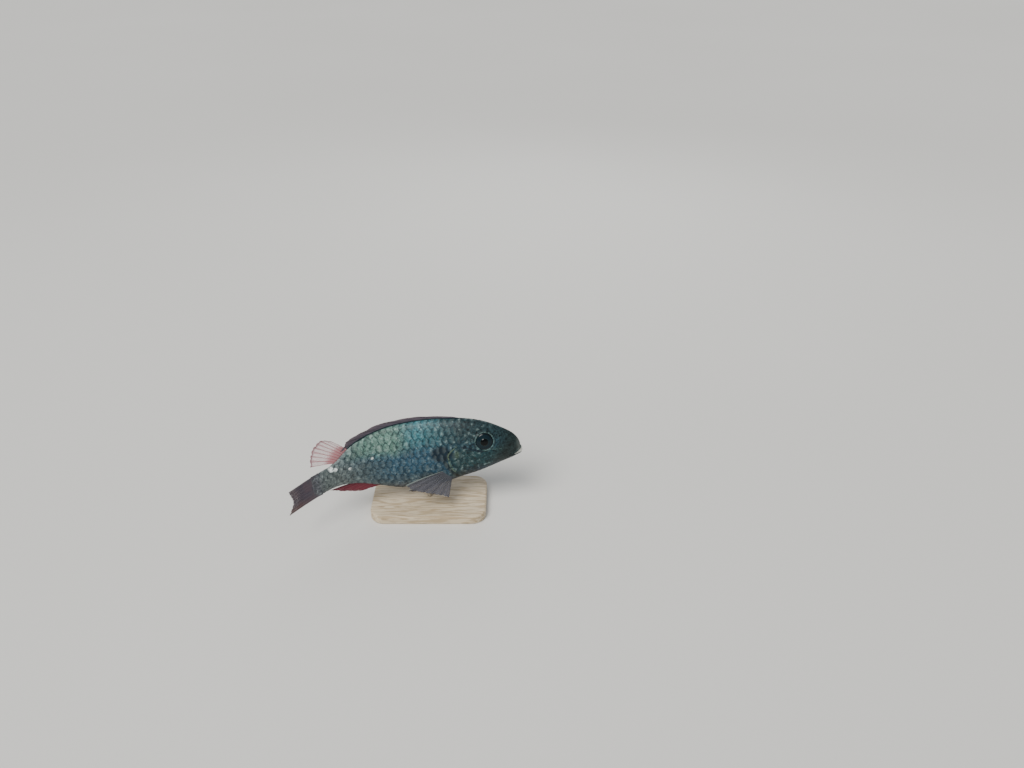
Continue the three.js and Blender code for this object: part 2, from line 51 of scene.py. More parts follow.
# Back, keel and half width of the body at shares of the length behind the snout
stations = {
    "at": [0, 0.007, 0.030, 0.090, 0.175, 0.290, 0.440, 0.590, 0.730, 0.800, 0.860, 0.910, 0.950, 1],
    "back": [-0.010, 0.028, 0.063, 0.105, 0.145, 0.171, 0.178, 0.172, 0.150, 0.131, 0.103, 0.074,
             0.0625, 0.062],
    "keel": [-0.036, -0.047, -0.060, -0.083, -0.117, -0.156, -0.193, -0.189, -0.134, -0.099, -0.076, -0.063,
             -0.059, -0.060],
    "half": [0, 0.015, 0.030, 0.048, 0.064, 0.075, 0.076, 0.064, 0.046, 0.037, 0.030, 0.025, 0.020, 0.014],
}
section = {"upperPower": 1.12, "lowerPower": 0.95}
probe = 0.01  # the small step, a share or an angle, that slopes are measured over


def ease(value):
    share = np.clip(value, 0, 1)
    return share * share * (3 - 2 * share)


def mix(a, b, share):
    return a + (b - a) * share


# A smooth curve through the given points that never overshoots them
def through(places, values):
    places = np.array(places, float)
    values = np.array(values, float)
    span = np.diff(places)
    rise = np.diff(values) / span
    slopes = np.zeros(len(places))
    slopes[0] = rise[0]
    slopes[-1] = rise[-1]
    for i in range(1, len(places) - 1):
        if rise[i - 1] * rise[i] > 0:
            before = 2 * span[i] + span[i - 1]
            after = span[i] + 2 * span[i - 1]
            slopes[i] = (before + after) / (before / rise[i - 1] + after / rise[i])

    def curve(place):
        place = np.asarray(place, float)
        i = np.clip(np.searchsorted(places, place, side="right") - 1, 0, len(span) - 1)
        t = np.clip((place - places[i]) / span[i], 0, 1)
        pull = span[i] * t * (1 - t) * (slopes[i] * (1 - t) - slopes[i + 1] * t)
        return values[i] + (values[i + 1] - values[i]) * ease(t) + pull

    return curve


def bodyLine(name):
    line = through(np.sqrt(stations["at"]), stations[name])
    return lambda at: line(np.sqrt(np.clip(at, 0, 1)))


back = bodyLine("back")
keel = bodyLine("keel")
bodyHalf = bodyLine("half")
fleshyRoot = {"reach": 0.035, "thin": 0.8}  # how far the tail stem runs out over the tail fin


def half(at):
    return bodyHalf(at) * (1 - fleshyRoot["thin"] * ease((at - 1) / fleshyRoot["reach"]))


# A point of the plain body's surface at a turn round it: 0 left, a quarter turn up
def skinPoint(at, turn):
    side = np.cos(turn)
    up = np.sin(turn)
    middle = (back(at) + keel(at)) / 2
    tall = (back(at) - keel(at)) / 2
    power = np.where(up > 0, section["upperPower"], section["lowerPower"])
    across = half(at) * np.sign(side) * np.abs(side) ** power
    return np.stack(np.broadcast_arrays(-at, across, middle + tall * up), axis=-1) * standardLength


def turnAt(at, height, side):
    middle = (back(at) + keel(at)) / 2
    tall = (back(at) - keel(at)) / 2
    turn = np.arcsin(np.clip((height - middle) / tall, -1, 1))
    return turn if side > 0 else math.pi - turn


def flankPoint(at, height, side):
    return skinPoint(at, turnAt(at, height, side))


def unit(vectors):
    return vectors / np.maximum(np.linalg.norm(vectors, axis=-1, keepdims=True), 1e-12)


def flankNormal(at, height, side):
    turn = turnAt(at, height, side)
    along = skinPoint(at + probe, turn) - skinPoint(at - probe, turn)
    around = skinPoint(at, turn + probe) - skinPoint(at, turn - probe)
    return unit(np.cross(along, around))


# A point raised from the plain body, or sunk below it, the way that the body faces there
def raisedPoint(at, turn, lift):
    step = 0.0002 + 0.02 * at
    along = skinPoint(at + step, turn) - skinPoint(np.maximum(at - step, 0), turn)
    around = skinPoint(at, turn + probe) - skinPoint(at, turn - probe)
    return skinPoint(at, turn) + unit(np.cross(along, around)) * lift[..., None]


# The middle line of the bent body, in steps, and the way it heads at each
lineStep = 0.002
lineCount = 659


def heading(at):
    return pose["bend"] * ease((at - pose["bendFrom"]) / pose["bendOver"])


stepAngles = heading((np.arange(lineCount) + 0.5) * lineStep)
strides = -lineStep * standardLength * np.stack([np.cos(stepAngles), np.sin(stepAngles)], axis=-1)
middleLine = np.vstack([[0, 0], np.cumsum(strides, axis=0)])


def bent(points):
    at = -points[..., 0] / standardLength
    angle = heading(at)
    steps = np.clip(at / lineStep, 0, len(middleLine) - 2)
    i = np.floor(steps).astype(int)
    share = (steps - i)[..., None]
    middle = mix(middleLine[i], middleLine[i + 1], share)
    x = np.where(at < 0, points[..., 0], middle[..., 0])
    y = np.where(at < 0, 0, middle[..., 1])
    across = points[..., 1]
    return np.stack([x - across * np.sin(angle), y + across * np.cos(angle), points[..., 2]], axis=-1)


def pitched(points):
    cos = math.cos(pose["noseUp"])
    sin = math.sin(pose["noseUp"])
    x, y, z = points[..., 0], points[..., 1], points[..., 2]
    return np.stack([x * cos - z * sin, y, x * sin + z * cos], axis=-1)


overRod = np.array([-stand["rodAt"], 0, float(keel(stand["rodAt"]))]) * standardLength
carried = pitched(bent(overRod))
carry = np.array([0, 0, stand["baseHeight"] + stand["rodLength"]]) - carried


def posed(points):
    return pitched(bent(points)) + carry


# Where the head ends at each turn round the body: the rear edge of the gill covers on the sides
gillCover = {
    "rear": 0.350, "level": 0.05, "upperReach": 0.088, "upperSpan": 0.5, "lowerReach": 0.115,
    "cheekLevel": -0.12, "cheekReach": 0.68, "cheekFade": 0.3,
    "proud": 0.9 * mm, "band": 13 * mm, "groove": 0.4 * mm, "grooveAt": 14.5 * mm, "grooveWide": 1.4 * mm,
}


def headEnd(turn):
    up = np.sin(turn)
    level = gillCover["level"]
    above = gillCover["rear"] - gillCover["upperReach"] * ease((up - level) / gillCover["upperSpan"])
    below = gillCover["rear"] - gillCover["lowerReach"] * np.maximum(level - up, 0) ** 3
    return np.where(up > level, above, below)


# 1 on the cheeks, 0 over nape and throat, where head and body run on with no edge between them
def coverSide(turn):
    away = np.abs(np.sin(turn) - gillCover["cheekLevel"])
    return ease((gillCover["cheekReach"] - away) / gillCover["cheekFade"])


# Shader building: an expression on wires adds Math nodes, and any other node comes from Shader.node
class Wire:
    def __init__(self, shader, socket):
        self.shader = shader
        self.socket = socket

    def math(self, operation, *values):
        return self.shader.node("ShaderNodeMath", {"operation": operation}, dict(enumerate(values)))

    def __add__(self, other):
        return self.math("ADD", self, other)

    def __radd__(self, other):
        return self.math("ADD", other, self)

    def __sub__(self, other):
        return self.math("SUBTRACT", self, other)

    def __rsub__(self, other):
        return self.math("SUBTRACT", other, self)

    def __mul__(self, other):
        return self.math("MULTIPLY", self, other)

    def __rmul__(self, other):
        return self.math("MULTIPLY", other, self)

    def __truediv__(self, other):
        return self.math("DIVIDE", self, other)

    def absolute(self):
        return self.math("ABSOLUTE", self)

    def sine(self):
        return self.math("SINE", self)

    # 0 below low, 1 above high, or the other way round where low is the larger
    def between(self, low, high):
        inputs = {0: self, 1: min(low, high), 2: max(low, high), 3: float(low > high), 4: float(low < high)}
        return self.shader.node("ShaderNodeMapRange", {"interpolation_type": "SMOOTHSTEP"}, inputs)


class Shader:
    def __init__(self, name, **constants):
        self.material = bpy.data.materials.new(name)
        self.material.use_nodes = True
        self.tree = self.material.node_tree
        self.surface = self.tree.nodes["Principled BSDF"]
        for key, value in constants.items():
            self.surface.inputs[key.replace("_", " ")].default_value = value

    def node(self, kind, settings, inputs, output=0):
        made = self.tree.nodes.new(kind)
        for key, value in settings.items():
            setattr(made, key, value)
        for key, value in inputs.items():
            self.put(made.inputs[key], value)
        return Wire(self, made.outputs[output])

    def put(self, socket, value):
        if isinstance(value, Wire):
            self.tree.links.new(value.socket, socket)
        elif isinstance(value, (tuple, list)) and socket.type == "RGBA":
            socket.default_value = (*value, 1)
        else:
            socket.default_value = value

    def value(self, name):
        return self.node("ShaderNodeAttribute", {"attribute_name": name}, {}, output="Fac")

    def blend(self, share, first, second, way="MIX"):
        settings = {"data_type": "RGBA", "blend_type": way}
        return self.node("ShaderNodeMix", settings, {0: share, 6: first, 7: second}, output=2)

    def noise(self, scale, detail, vector=None):
        inputs = {"Scale": scale, "Detail": detail, "Vector": vector or self.ground()}
        return self.node("ShaderNodeTexNoise", {}, inputs)

    def cells(self, scale):
        return self.node("ShaderNodeTexVoronoi", {}, {"Scale": scale, "Vector": self.ground()})

    def ground(self):
        return self.node("ShaderNodeTexCoord", {}, {}, output="Object")

    def bump(self, height, distance, strength):
        inputs = {"Height": height, "Distance": distance, "Strength": strength}
        return self.node("ShaderNodeBump", {}, inputs)

    def finish(self, **links):
        for key, value in links.items():
            self.put(self.surface.inputs[key.replace("_", " ")], value)
        return self.material


# A colour in screen values from 0 to 255 as the linear one that a shader takes
def colour(red, green, blue):
    parts = np.array([red, green, blue]) / 255
    linear = np.where(parts <= 0.04045, parts / 12.92, ((parts + 0.055) / 1.055) ** 2.4)
    return tuple(float(part) for part in linear)


# Mesh building: points in rows, faces as arrays of point numbers, and named values on the points
def makePiece(name, points, faces, material, nodes, values, uvs=None):
    mesh = bpy.data.meshes.new(name)
    loops = np.concatenate([part.ravel() for part in faces])
    sizes = np.concatenate([np.full(len(part), part.shape[1]) for part in faces])
    mesh.vertices.add(len(points))
    mesh.vertices.foreach_set("co", np.ascontiguousarray(points, np.float32).ravel())
    mesh.loops.add(len(loops))
    mesh.loops.foreach_set("vertex_index", loops.astype(np.int32))
    mesh.polygons.add(len(sizes))
    mesh.polygons.foreach_set("loop_start", (np.cumsum(sizes) - sizes).astype(np.int32))
    mesh.update(calc_edges=True)
    mesh.validate()
    mesh.shade_smooth()
    for key, value in values.items():
        attribute = mesh.attributes.new(key, "FLOAT", "POINT")
        attribute.data.foreach_set("value", np.ascontiguousarray(value, np.float32).ravel())
    if uvs is not None:
        layer = mesh.uv_layers.new(name="OFBake")
        layer.uv.foreach_set("vector", np.ascontiguousarray(uvs[loops], np.float32).ravel())
    mesh.materials.append(material)
    piece = bpy.data.objects.new(name, mesh)
    bpy.context.scene.collection.objects.link(piece)
    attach(piece, "root")
    if nodes:
        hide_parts(*nodes)


# Point numbers of the four-sided faces of a grid, closed on itself across its columns or not
def gridFaces(rows, columns, closed=False):
    lastColumn = columns if closed else columns - 1
    i, j = np.meshgrid(np.arange(rows - 1), np.arange(lastColumn), indexing="ij")
    after = (j + 1) % columns
    corners = [i * columns + j, i * columns + after, (i + 1) * columns + after, (i + 1) * columns + j]
    return np.stack(corners, axis=-1).reshape(-1, 4)


# The skin: one surface over head, torso and tail stem, with its sockets, lips and gill covers
eye = {"at": 0.168, "height": 0.065, "radius": 6.9 * mm, "depth": 3.2 * mm, "sunk": 1.6 * mm}
eyeRim = {
    "rise": 0.40 * mm, "out": 0.25 * mm, "wide": 0.6 * mm,
    "groove": 0.26 * mm, "grooveOut": 1.9 * mm, "grooveWide": 0.8 * mm,
    "socket": 2.6 * mm, "socketIn": 0.45 * mm, "socketWall": 1.2 * mm,
}
mouth = {
    "front": -0.0055, "back": 0.034, "half": 0.0277, "frontHeight": -0.023, "dip": 0.012,
    "corner": 1.12,  # where the opening ends, as a share along the beak's line
    "crease": 0.5 * mm, "creaseWide": 0.2 * mm, "creaseFrom": 0.9, "creaseOver": 0.35,
}
beak = {"height": 1.85 * mm, "cornerHeight": 0.5 * mm, "thickness": 1.2 * mm}
lips = {
    "frontRise": 0.42 * mm, "sideRise": 0.85 * mm, "sideFrom": 0.7, "wide": 0.85 * mm, "over": 0.35 * mm,
    "groove": 0.24 * mm, "grooveOver": 2.5 * mm, "grooveWide": 0.55 * mm,
    "slot": 2.3 * mm, "slotIn": 0.02 * mm, "slotWall": 0.3 * mm, "slotEnd": 0.12,
    "rear": 0.085, "rearFade": 0.03, "cornerOver": 0.25, "cornerFade": 0.4,
}
nostrils = [
    {"at": 0.093, "height": 0.077, "radius": 0.70 * mm, "rim": 0.24 * mm},
    {"at": 0.108, "height": 0.085, "radius": 0.55 * mm, "rim": 0.12 * mm},
]
nostrilForm = {"pit": 0.9 * mm, "wall": 0.55, "rimAt": 1.35, "rimWide": 0.35}  # last three in radii
skin = {
    "around": 288, "headRows": 210, "bodyRows": 118,
    "start": 0.004, "end": 1.045,
    "crowding": 1.4,  # above 1, rows crowd towards the snout
    "scaleDepth": 0.5 * mm,  # its depth under the scales, less at the gill cover's edge and the tail fin
    "edgeHeld": 0.8, "edgeBand": 4 * mm, "stemHeld": 0.6, "stemFrom": 0.97, "stemOver": 0.06,
}
# The unwrap of the body: length across the map, the way round up it, and a small patch for each scale
unwrap = {"edge": 0.03, "long": 0.9, "round": 0.94, "patch": 0.003}
# Where the scales begin on the head, by height over the snout: behind the eye, lower on the cheek
scaledHeights = [-0.16, -0.12, -0.08, -0.03, 0.03, 0.08, 0.12, 0.18]
scaledFrom = through(scaledHeights, [0.215, 0.195, 0.165, 0.135, 0.180, 0.205, 0.190, 0.175])
scaledFade = {"before": 0.012, "over": 0.11}
farAway = 1.0  # a distance to the eye for every point of the other side


# How much of the scales' depth lies over the skin: none on the snout and chin, little on the face
def scaleCover(at, turn):
    height = skinPoint(at, turn)[..., 2] / standardLength
    return ease((at - scaledFrom(height) + scaledFade["before"]) / scaledFade["over"])


def beakLine(share):
    at = mouth["front"] + (mouth["back"] - mouth["front"]) * share * share
    height = mouth["frontHeight"] - mouth["dip"] * share * share
    return np.stack([-at, mouth["half"] * share, height], axis=-1) * standardLength


def beakHeight(share):
    return mix(beak["cornerHeight"], beak["height"], 1 - np.minimum(1, share * share))


# The share along the beak's line and the height over it, for points of the snout
def mouthPlace(points):
    share = points[..., 1] / (mouth["half"] * standardLength)
    behind = -points[..., 0] / standardLength
    reach = (behind - mouth["front"]) / (mouth["back"] - mouth["front"])
    farShare = np.sign(share) * np.sqrt(np.clip(reach, 0, 4))
    share = np.where(np.abs(farShare) > np.abs(share), farShare, share)
    level = (mouth["frontHeight"] - mouth["dip"] * share * share) * standardLength
    return share, points[..., 2] - level


def eyeDistance(points, side):
    centre = flankPoint(eye["at"], eye["height"], side)
    normal = flankNormal(eye["at"], eye["height"], side)
    offset = points - centre
    flat = offset - (offset @ normal)[..., None] * normal
    return np.where(points[..., 1] * side > 0, np.linalg.norm(flat, axis=-1), farAway)


def hump(distance, width):
    return np.exp(-((distance / width) ** 2))


# How far the skin stands out from the plain body at each place of the head
def headLift(at, turn):
    plain = skinPoint(at, turn)
    toEdge = (headEnd(turn) - at) * standardLength
    cover = gillCover["proud"] * ease(1 - toEdge / gillCover["band"])
    groove = gillCover["groove"] * hump(toEdge - gillCover["grooveAt"], gillCover["grooveWide"])
    lift = coverSide(turn) * (cover - groove)
    for side in (-1, 1):
        away = eyeDistance(plain, side) - eye["radius"]
        lift = lift + eyeRim["rise"] * hump(away - eyeRim["out"], eyeRim["wide"])
        lift = lift - eyeRim["groove"] * hump(away - eyeRim["grooveOut"], eyeRim["grooveWide"])
        lift = lift - eyeRim["socket"] * ease((-eyeRim["socketIn"] - away) / eyeRim["socketWall"])
    share, over = mouthPlace(plain)
    aside = np.abs(share)
    near = ease((lips["rear"] - at) / lips["rearFade"])
    fade = ease((mouth["corner"] + lips["cornerOver"] - aside) / lips["cornerFade"])
    beyond = np.abs(over) - beakHeight(share) * fade
    lipRise = mix(lips["frontRise"], lips["sideRise"], ease(aside / lips["sideFrom"]))
    lift = lift + near * fade * lipRise * hump(beyond - lips["over"], lips["wide"])
    lift = lift - near * fade * lips["groove"] * hump(beyond - lips["grooveOver"], lips["grooveWide"])
    slotEnd = ease((mouth["corner"] - aside) / lips["slotEnd"])
    lift = lift - near * slotEnd * ease((lips["slotIn"] - beyond) / lips["slotWall"]) * lips["slot"]
    creaseEnd = ease((mouth["corner"] + mouth["creaseOver"] - aside) / 0.2)
    crease = hump(over, mouth["creaseWide"]) * creaseEnd * ease((aside - mouth["creaseFrom"]) / 0.2)
    lift = lift - near * mouth["crease"] * crease
    for nostril in nostrils:
        for side in (-1, 1):
            centre = flankPoint(nostril["at"], nostril["height"], side)
            away = np.linalg.norm(plain - centre, axis=-1) / nostril["radius"]
            lift = lift - nostrilForm["pit"] * ease((1 - away) / nostrilForm["wall"])
            lift = lift + nostril["rim"] * hump(away - nostrilForm["rimAt"], nostrilForm["rimWide"])
    return lift


# The turned-in edge of the gill cover, row by row: how far behind the edge and over the plain body, in mm
foldAlong = [0.12, 0.24, 0.27, 0.20, 0.02, -0.5, -1.2, -1.7, -1.8, -1.4, -0.6, 0.3, 1.2]
foldOver = [0.88, 0.74, 0.56, 0.40, 0.30, 0.22, 0.10, -0.15, -0.55, -0.85, -0.9, -0.75, -0.5]


# Rows of the skin from the snout back: each a share behind the snout and a lift, for all turns
def skinRows(turns):
    rows = []
    side = coverSide(turns)
    edge = headEnd(turns)
    for i in range(skin["headRows"] + 1):
        at = edge * mix(skin["start"], 1, (i / skin["headRows"]) ** skin["crowding"])
        held = skin["edgeHeld"] * side * ease(1 - (edge - at) * standardLength / skin["edgeBand"])
        rows.append((at, headLift(at, turns) - skin["scaleDepth"] * scaleCover(at, turns) * (1 - held)))
    for i, (along, over) in enumerate(zip(foldAlong, foldOver)):
        plainAlong = 0.1 * (i + 1)
        at = edge + mix(plainAlong, along, side) * mm / standardLength
        rows.append((at, mix(-skin["scaleDepth"], over * mm, side)))
    first = rows[-1][0]
    for i in range(1, skin["bodyRows"] + 1):
        at = mix(first, skin["end"], i / skin["bodyRows"])
        held = skin["stemHeld"] * ease((at - skin["stemFrom"]) / skin["stemOver"])
        rows.append((at, -skin["scaleDepth"] * (1 - held)))
    return rows


# The faces that close an end of the skin, each from two points to the two across from them
def endFaces(base, count, order):
    j = np.arange(count // 2)
    quads = base + np.stack([j, (count - j) % count, count - j - 1, j + 1], axis=-1)
    corners = np.array([quads[0, [0, 2, 3]], quads[-1, [0, 1, 2]]])
    return quads[1:-1, ::order], corners[:, ::order]


def makeSkin(material):
    count = skin["around"]
    turns = np.arange(count) / count * 2 * math.pi - quarter
    at, lift = [np.array(part) for part in zip(*skinRows(turns))]
    points = raisedPoint(at, turns[None, :], lift).reshape(-1, 3)
    front = endFaces(0, count, 1)
    rear = endFaces((len(at) - 1) * count, count, -1)
    faces = [gridFaces(len(at), count, closed=True)] + [np.concatenate(pair) for pair in zip(front, rear)]
    turnShare = (np.tile(turns, len(at)) + quarter) / (2 * math.pi)
    u = unwrap["edge"] + unwrap["long"] * at.ravel()
    uv = np.stack([u, unwrap["edge"] + unwrap["round"] * turnShare], axis=-1)
    eyeAway = np.minimum(eyeDistance(points, -1), eyeDistance(points, 1)) / mm
    values = {"bodyAt": at, "bodyUp": points[:, 2] / standardLength, "relief": lift / mm,
              "eyeAway": np.minimum(eyeAway, 30)}  # the paint looks no farther than 30 mm
    makePiece("skin", posed(points), faces, material, ["head", "torso", "tail"], values, uv)


# The colours and markings that skin and scales share
paint = {
    "upper": colour(55, 102, 110),
    "flank": colour(38, 70, 88),
    "leaf": colour(90, 119, 106),
    "lower": colour(60, 80, 92),
    "belly": colour(66, 74, 84),
    "rear": colour(66, 82, 88),
    "stem": colour(93, 102, 102),
    "stemEnd": colour(84, 86, 92),
    "nape": colour(31, 50, 54),
    "snout": colour(29, 41, 41),
    "cheek": colour(24, 54, 58),
    "throat": colour(31, 48, 60),
    "blotch": colour(6, 26, 39),
    "edge": colour(18, 36, 44),
    "pale": colour(190, 206, 200),
    "ring": colour(112, 136, 130),
    "rim": colour(104, 120, 94),
    "lip": colour(98, 106, 103),
    "white": colour(226, 234, 232),
    # painted shade: the gill opening's shadow and the shade in the skin's sunk places
    "paintedShade": colour(8, 18, 22),
}


# Zones of colour over the flank's, in the order that they go on: paint, strength, and the fields that
# bound it, each fading in from the first number to the second
zones = [
    ("upper", 1.0, ("level", 0.03, 0.12)),
    ("lower", 1.0, ("level", -0.06, -0.12)),
    ("leaf", 0.85, ("place", 0.50, 0.64), ("place", 0.92, 0.80), ("level", 0.02, 0.09)),
    ("rear", 1.0, ("place", 0.62, 0.80), ("level", 0.07, 0.0)),
    ("stem", 1.0, ("place", 0.74, 0.93)),
    ("stemEnd", 1.0, ("at", 0.97, 1.03)),
    ("cheek", 1.0, ("place", 0.38, 0.30), ("level", 0.08, 0.01)),
    ("nape", 1.0, ("place", 0.48, 0.27), ("level", 0.02, 0.09)),
    ("snout", 1.0, ("slant", 0.17, 0.07)),
    ("belly", 1.0, ("level", -0.115, -0.165)),
    ("throat", 1.0, ("place", 0.34, 0.26), ("level", -0.05, -0.11)),
    ("pale", 0.16, ("mottle", 0.54, 0.70), ("place", 0.10, 0.20)),
    ("edge", 0.40, ("mottle", 0.46, 0.30)),
]
speckles = {"broad": 60.0, "mottle": 340.0, "speck": 760.0, "fine": 1600.0, "wander": 0.10}  # noise scales
# Round markings, narrow ones and painted gill-opening shadow, each placed by its share behind the snout and
# its height over it
spots = {
    "behindEye": {"middle": (0.245, 0.065), "reach": (0.055, 0.035), "soft": 0.6},
    "shoulder": {"middle": (0.382, 0.018), "reach": (0.055, 0.044), "soft": 0.5},
    "coverPatch": {"middle": (0.305, 0.014), "reach": (0.010, 0.022), "soft": 0.8},
}
strokes = {
    "eyeStreak": {"start": (0.283, 0.054), "end": (0.180, 0.011), "width": 0.0060, "soft": 0.8},
    # upperShade and lowerShade are painted shadow in the gill opening, behind the cover's edge and over the
    # pectoral root
    "upperShade": {"start": (0.372, -0.025), "end": (0.350, -0.080), "width": 0.011, "soft": 0.8},
    "lowerShade": {"start": (0.350, -0.080), "end": (0.312, -0.140), "width": 0.010, "soft": 0.8},
    "cheekLine": {"start": (0.180, 0.023), "end": (0.092, 0.014), "width": 0.0013, "soft": 0.95},
}
flecks = [(0.940, 0.051, 0.013), (0.921, 0.043, 0.010), (0.850, 0.023, 0.008), (0.733, 0.045, 0.007)]


def spot(at, up, middle, reach, soft):
    a = (at - middle[0]) / reach[0]
    b = (up - middle[1]) / reach[1]
    return (a * a + b * b).between(1 + soft, 1 - soft)


# A narrow stroke from one place to another
def stroke(at, up, start, end, width, soft):
    long = math.hypot(end[0] - start[0], end[1] - start[1])
    wayAt = (end[0] - start[0]) / long
    wayUp = (end[1] - start[1]) / long
    along = (at - start[0]) * wayAt + (up - start[1]) * wayUp
    aside = ((at - start[0]) * wayUp - (up - start[1]) * wayAt).absolute()
    inside = along.between(-width, width) * along.between(long + width, long - width)
    return inside * aside.between(width * (1 + soft), width * (1 - soft))


def fishPaint(shader):
    at = shader.value("bodyAt")
    up = shader.value("bodyUp")
    mottle = shader.noise(speckles["mottle"], 3.0)
    speck = shader.noise(speckles["speck"], 2.5)
    fine = shader.noise(speckles["fine"], 2.0)
    wander = (shader.noise(speckles["broad"], 2.0) - 0.5) * speckles["wander"]
    place = at + wander
    level = up + wander
    fields = {"at": at, "place": place, "level": level, "slant": at + level * 0.5, "mottle": mottle}
    tint = paint["flank"]
    for name, strength, *bounds in zones:
        fades = [fields[field].between(low, high) for field, low, high in bounds]
        tint = shader.blend(math.prod(fades, start=strength), tint, paint[name])
    behindEye = spot(at, up, **spots["behindEye"]) * mottle.between(0.52, 0.42)
    tint = shader.blend(behindEye * 0.6, tint, paint["blotch"])
    tint = shader.blend(spot(at, up, **spots["shoulder"]) * 0.96, tint, paint["blotch"])
    tint = shader.blend(stroke(at, up, **strokes["eyeStreak"]) * 0.85, tint, paint["blotch"])
    # Painted shadow: dark strokes down the gill opening behind the gill cover
    shade = stroke(at, up, **strokes["upperShade"]) + stroke(at, up, **strokes["lowerShade"])
    tint = shader.blend(shade.between(0.0, 1.0) * 0.75, tint, paint["paintedShade"])
    cheekLine = stroke(at, up, **strokes["cheekLine"]) * fine.between(0.40, 0.60)
    tint = shader.blend(cheekLine * 0.5, tint, paint["ring"])
    tint = shader.blend(spot(at, up, **spots["coverPatch"]) * speck * 0.7, tint, paint["rim"])
    for fleckAt, fleckUp, reach in flecks:
        fleck = spot(at, up, (fleckAt, fleckUp), (reach, reach * 0.85), 0.7)
        tint = shader.blend(fleck * speck.between(0.28, 0.46), tint, paint["white"])
    face = at.between(0.30, 0.24)
    patchy = (mottle - 0.5) * (face * 1.1 + 0.6) + (speck - 0.5) * (face * 0.6 + 2.4)
    tint = shader.blend(1.0, tint, patchy + (fine - 0.5) * 1.4 + 1.02, "MULTIPLY")
    tint = shader.blend(at.between(0.026, 0.006) * 0.55, tint, paint["lip"])
    return at, tint, fine, speck


# Skin: fine mottling under the wet film, painted shade in its folds and hollows, pale rims at the gill
# cover and the eye
def skinMaterial():
    shader = Shader("wet skin", Roughness=0.45, IOR=1.36, Specular_IOR_Level=0.32, Coat_Weight=0.05,
                    Coat_Roughness=0.15)
    at, tint, fine, speck = fishPaint(shader)
    relief = shader.value("relief")
    rim = relief.between(0.55, 0.85) * at.between(0.27, 0.31) * speck.between(0.38, 0.55)
    tint = shader.blend(rim * 0.7, tint, paint["rim"])
    eyeAway = shader.value("eyeAway")
    ring = eyeAway.between(6.3, 6.8) * eyeAway.between(7.9, 7.0) * speck.between(0.36, 0.58)
    tint = shader.blend(ring * 0.5, tint, paint["ring"])
    # Painted shade where the skin is sunk: eye sockets, mouth slot, nostril pits, the gill cover's
    # turned-in edge and the skin under the scales
    tint = shader.blend(relief.between(-0.35, -0.9), tint, paint["paintedShade"])
    relief = shader.bump(fine * 0.6 + shader.cells(1500.0) * 0.4, 0.10 * mm, 0.5)
    return shader.finish(Base_Color=tint, Normal=relief, Roughness=0.38 + fine * 0.18)


# Scales: a broken dark line along the free edge, with growth rings and spokes as relief
def scaleMaterial():
    shader = Shader("scales", Roughness=0.42, IOR=1.38, Specular_IOR_Level=0.32, Coat_Weight=0.06,
                    Coat_Roughness=0.15)
    at, tint, fine = fishPaint(shader)[:3]
    margin = shader.value("margin")
    onBody = at.between(0.16, 0.36)
    strong = shader.value("bodyUp").between(-0.02, 0.08) * 0.55 + 0.45
    tone = (shader.value("tone") - 0.5) * (onBody * 0.34 + 0.10)
    tint = shader.blend(1.0, tint, tone + 1.0, "MULTIPLY")
    tint = shader.blend(margin.between(0.84, 0.60) * onBody * 0.07, tint, paint["pale"])
    broken = shader.noise(480.0, 2.0).between(0.34, 0.58) * 0.55 + 0.14
    tint = shader.blend(margin.between(0.78, 0.95) * onBody * strong * broken, tint, paint["edge"])
    rings = (shader.value("ring") * 110.0).sine()
    spokes = (shader.value("spoke") * 60.0).sine()
    relief = shader.bump(rings * 0.22 + spokes * 0.15 + fine, 0.05 * mm, 0.5)
    return shader.finish(Base_Color=tint, Normal=relief, Roughness=0.36 + fine * 0.2)


# Turn round the body at each arc length from mid flank, found once for the whole length
arcTurns = np.linspace(-math.pi, math.pi, 721)
arcPlaces = np.linspace(0.02, 1.06, 240)
arcReach = 75 * mm
arcSteps = np.linspace(-arcReach, arcReach, 601)


def arcTable():
    table = []
    girths = []
    for at in arcPlaces:
        ring = skinPoint(np.full_like(arcTurns, at), arcTurns)
        lengths = np.concatenate([[0], np.cumsum(np.linalg.norm(np.diff(ring, axis=0), axis=-1))])
        lengths -= np.interp(0, arcTurns, lengths)
        table.append(np.interp(arcSteps, lengths, arcTurns))
        girths.append(lengths[-1] - lengths[0])
    return np.array(table), np.array(girths)


turnTable, girths = arcTable()


def girth(at):
    return np.interp(at, arcPlaces, girths)


def turnAtArc(at, arc, side):
    i = np.clip((at - arcPlaces[0]) / (arcPlaces[1] - arcPlaces[0]), 0, len(arcPlaces) - 1.001)
    j = np.clip((arc + arcReach) / (arcSteps[1] - arcSteps[0]), 0, len(arcSteps) - 1.001)
    i0 = i.astype(int)
    j0 = j.astype(int)
    upper = mix(turnTable[i0, j0], turnTable[i0, j0 + 1], j - j0)
    lower = mix(turnTable[i0 + 1, j0], turnTable[i0 + 1, j0 + 1], j - j0)
    turn = mix(upper, lower, i - i0)
    return turn if side > 0 else math.pi - turn


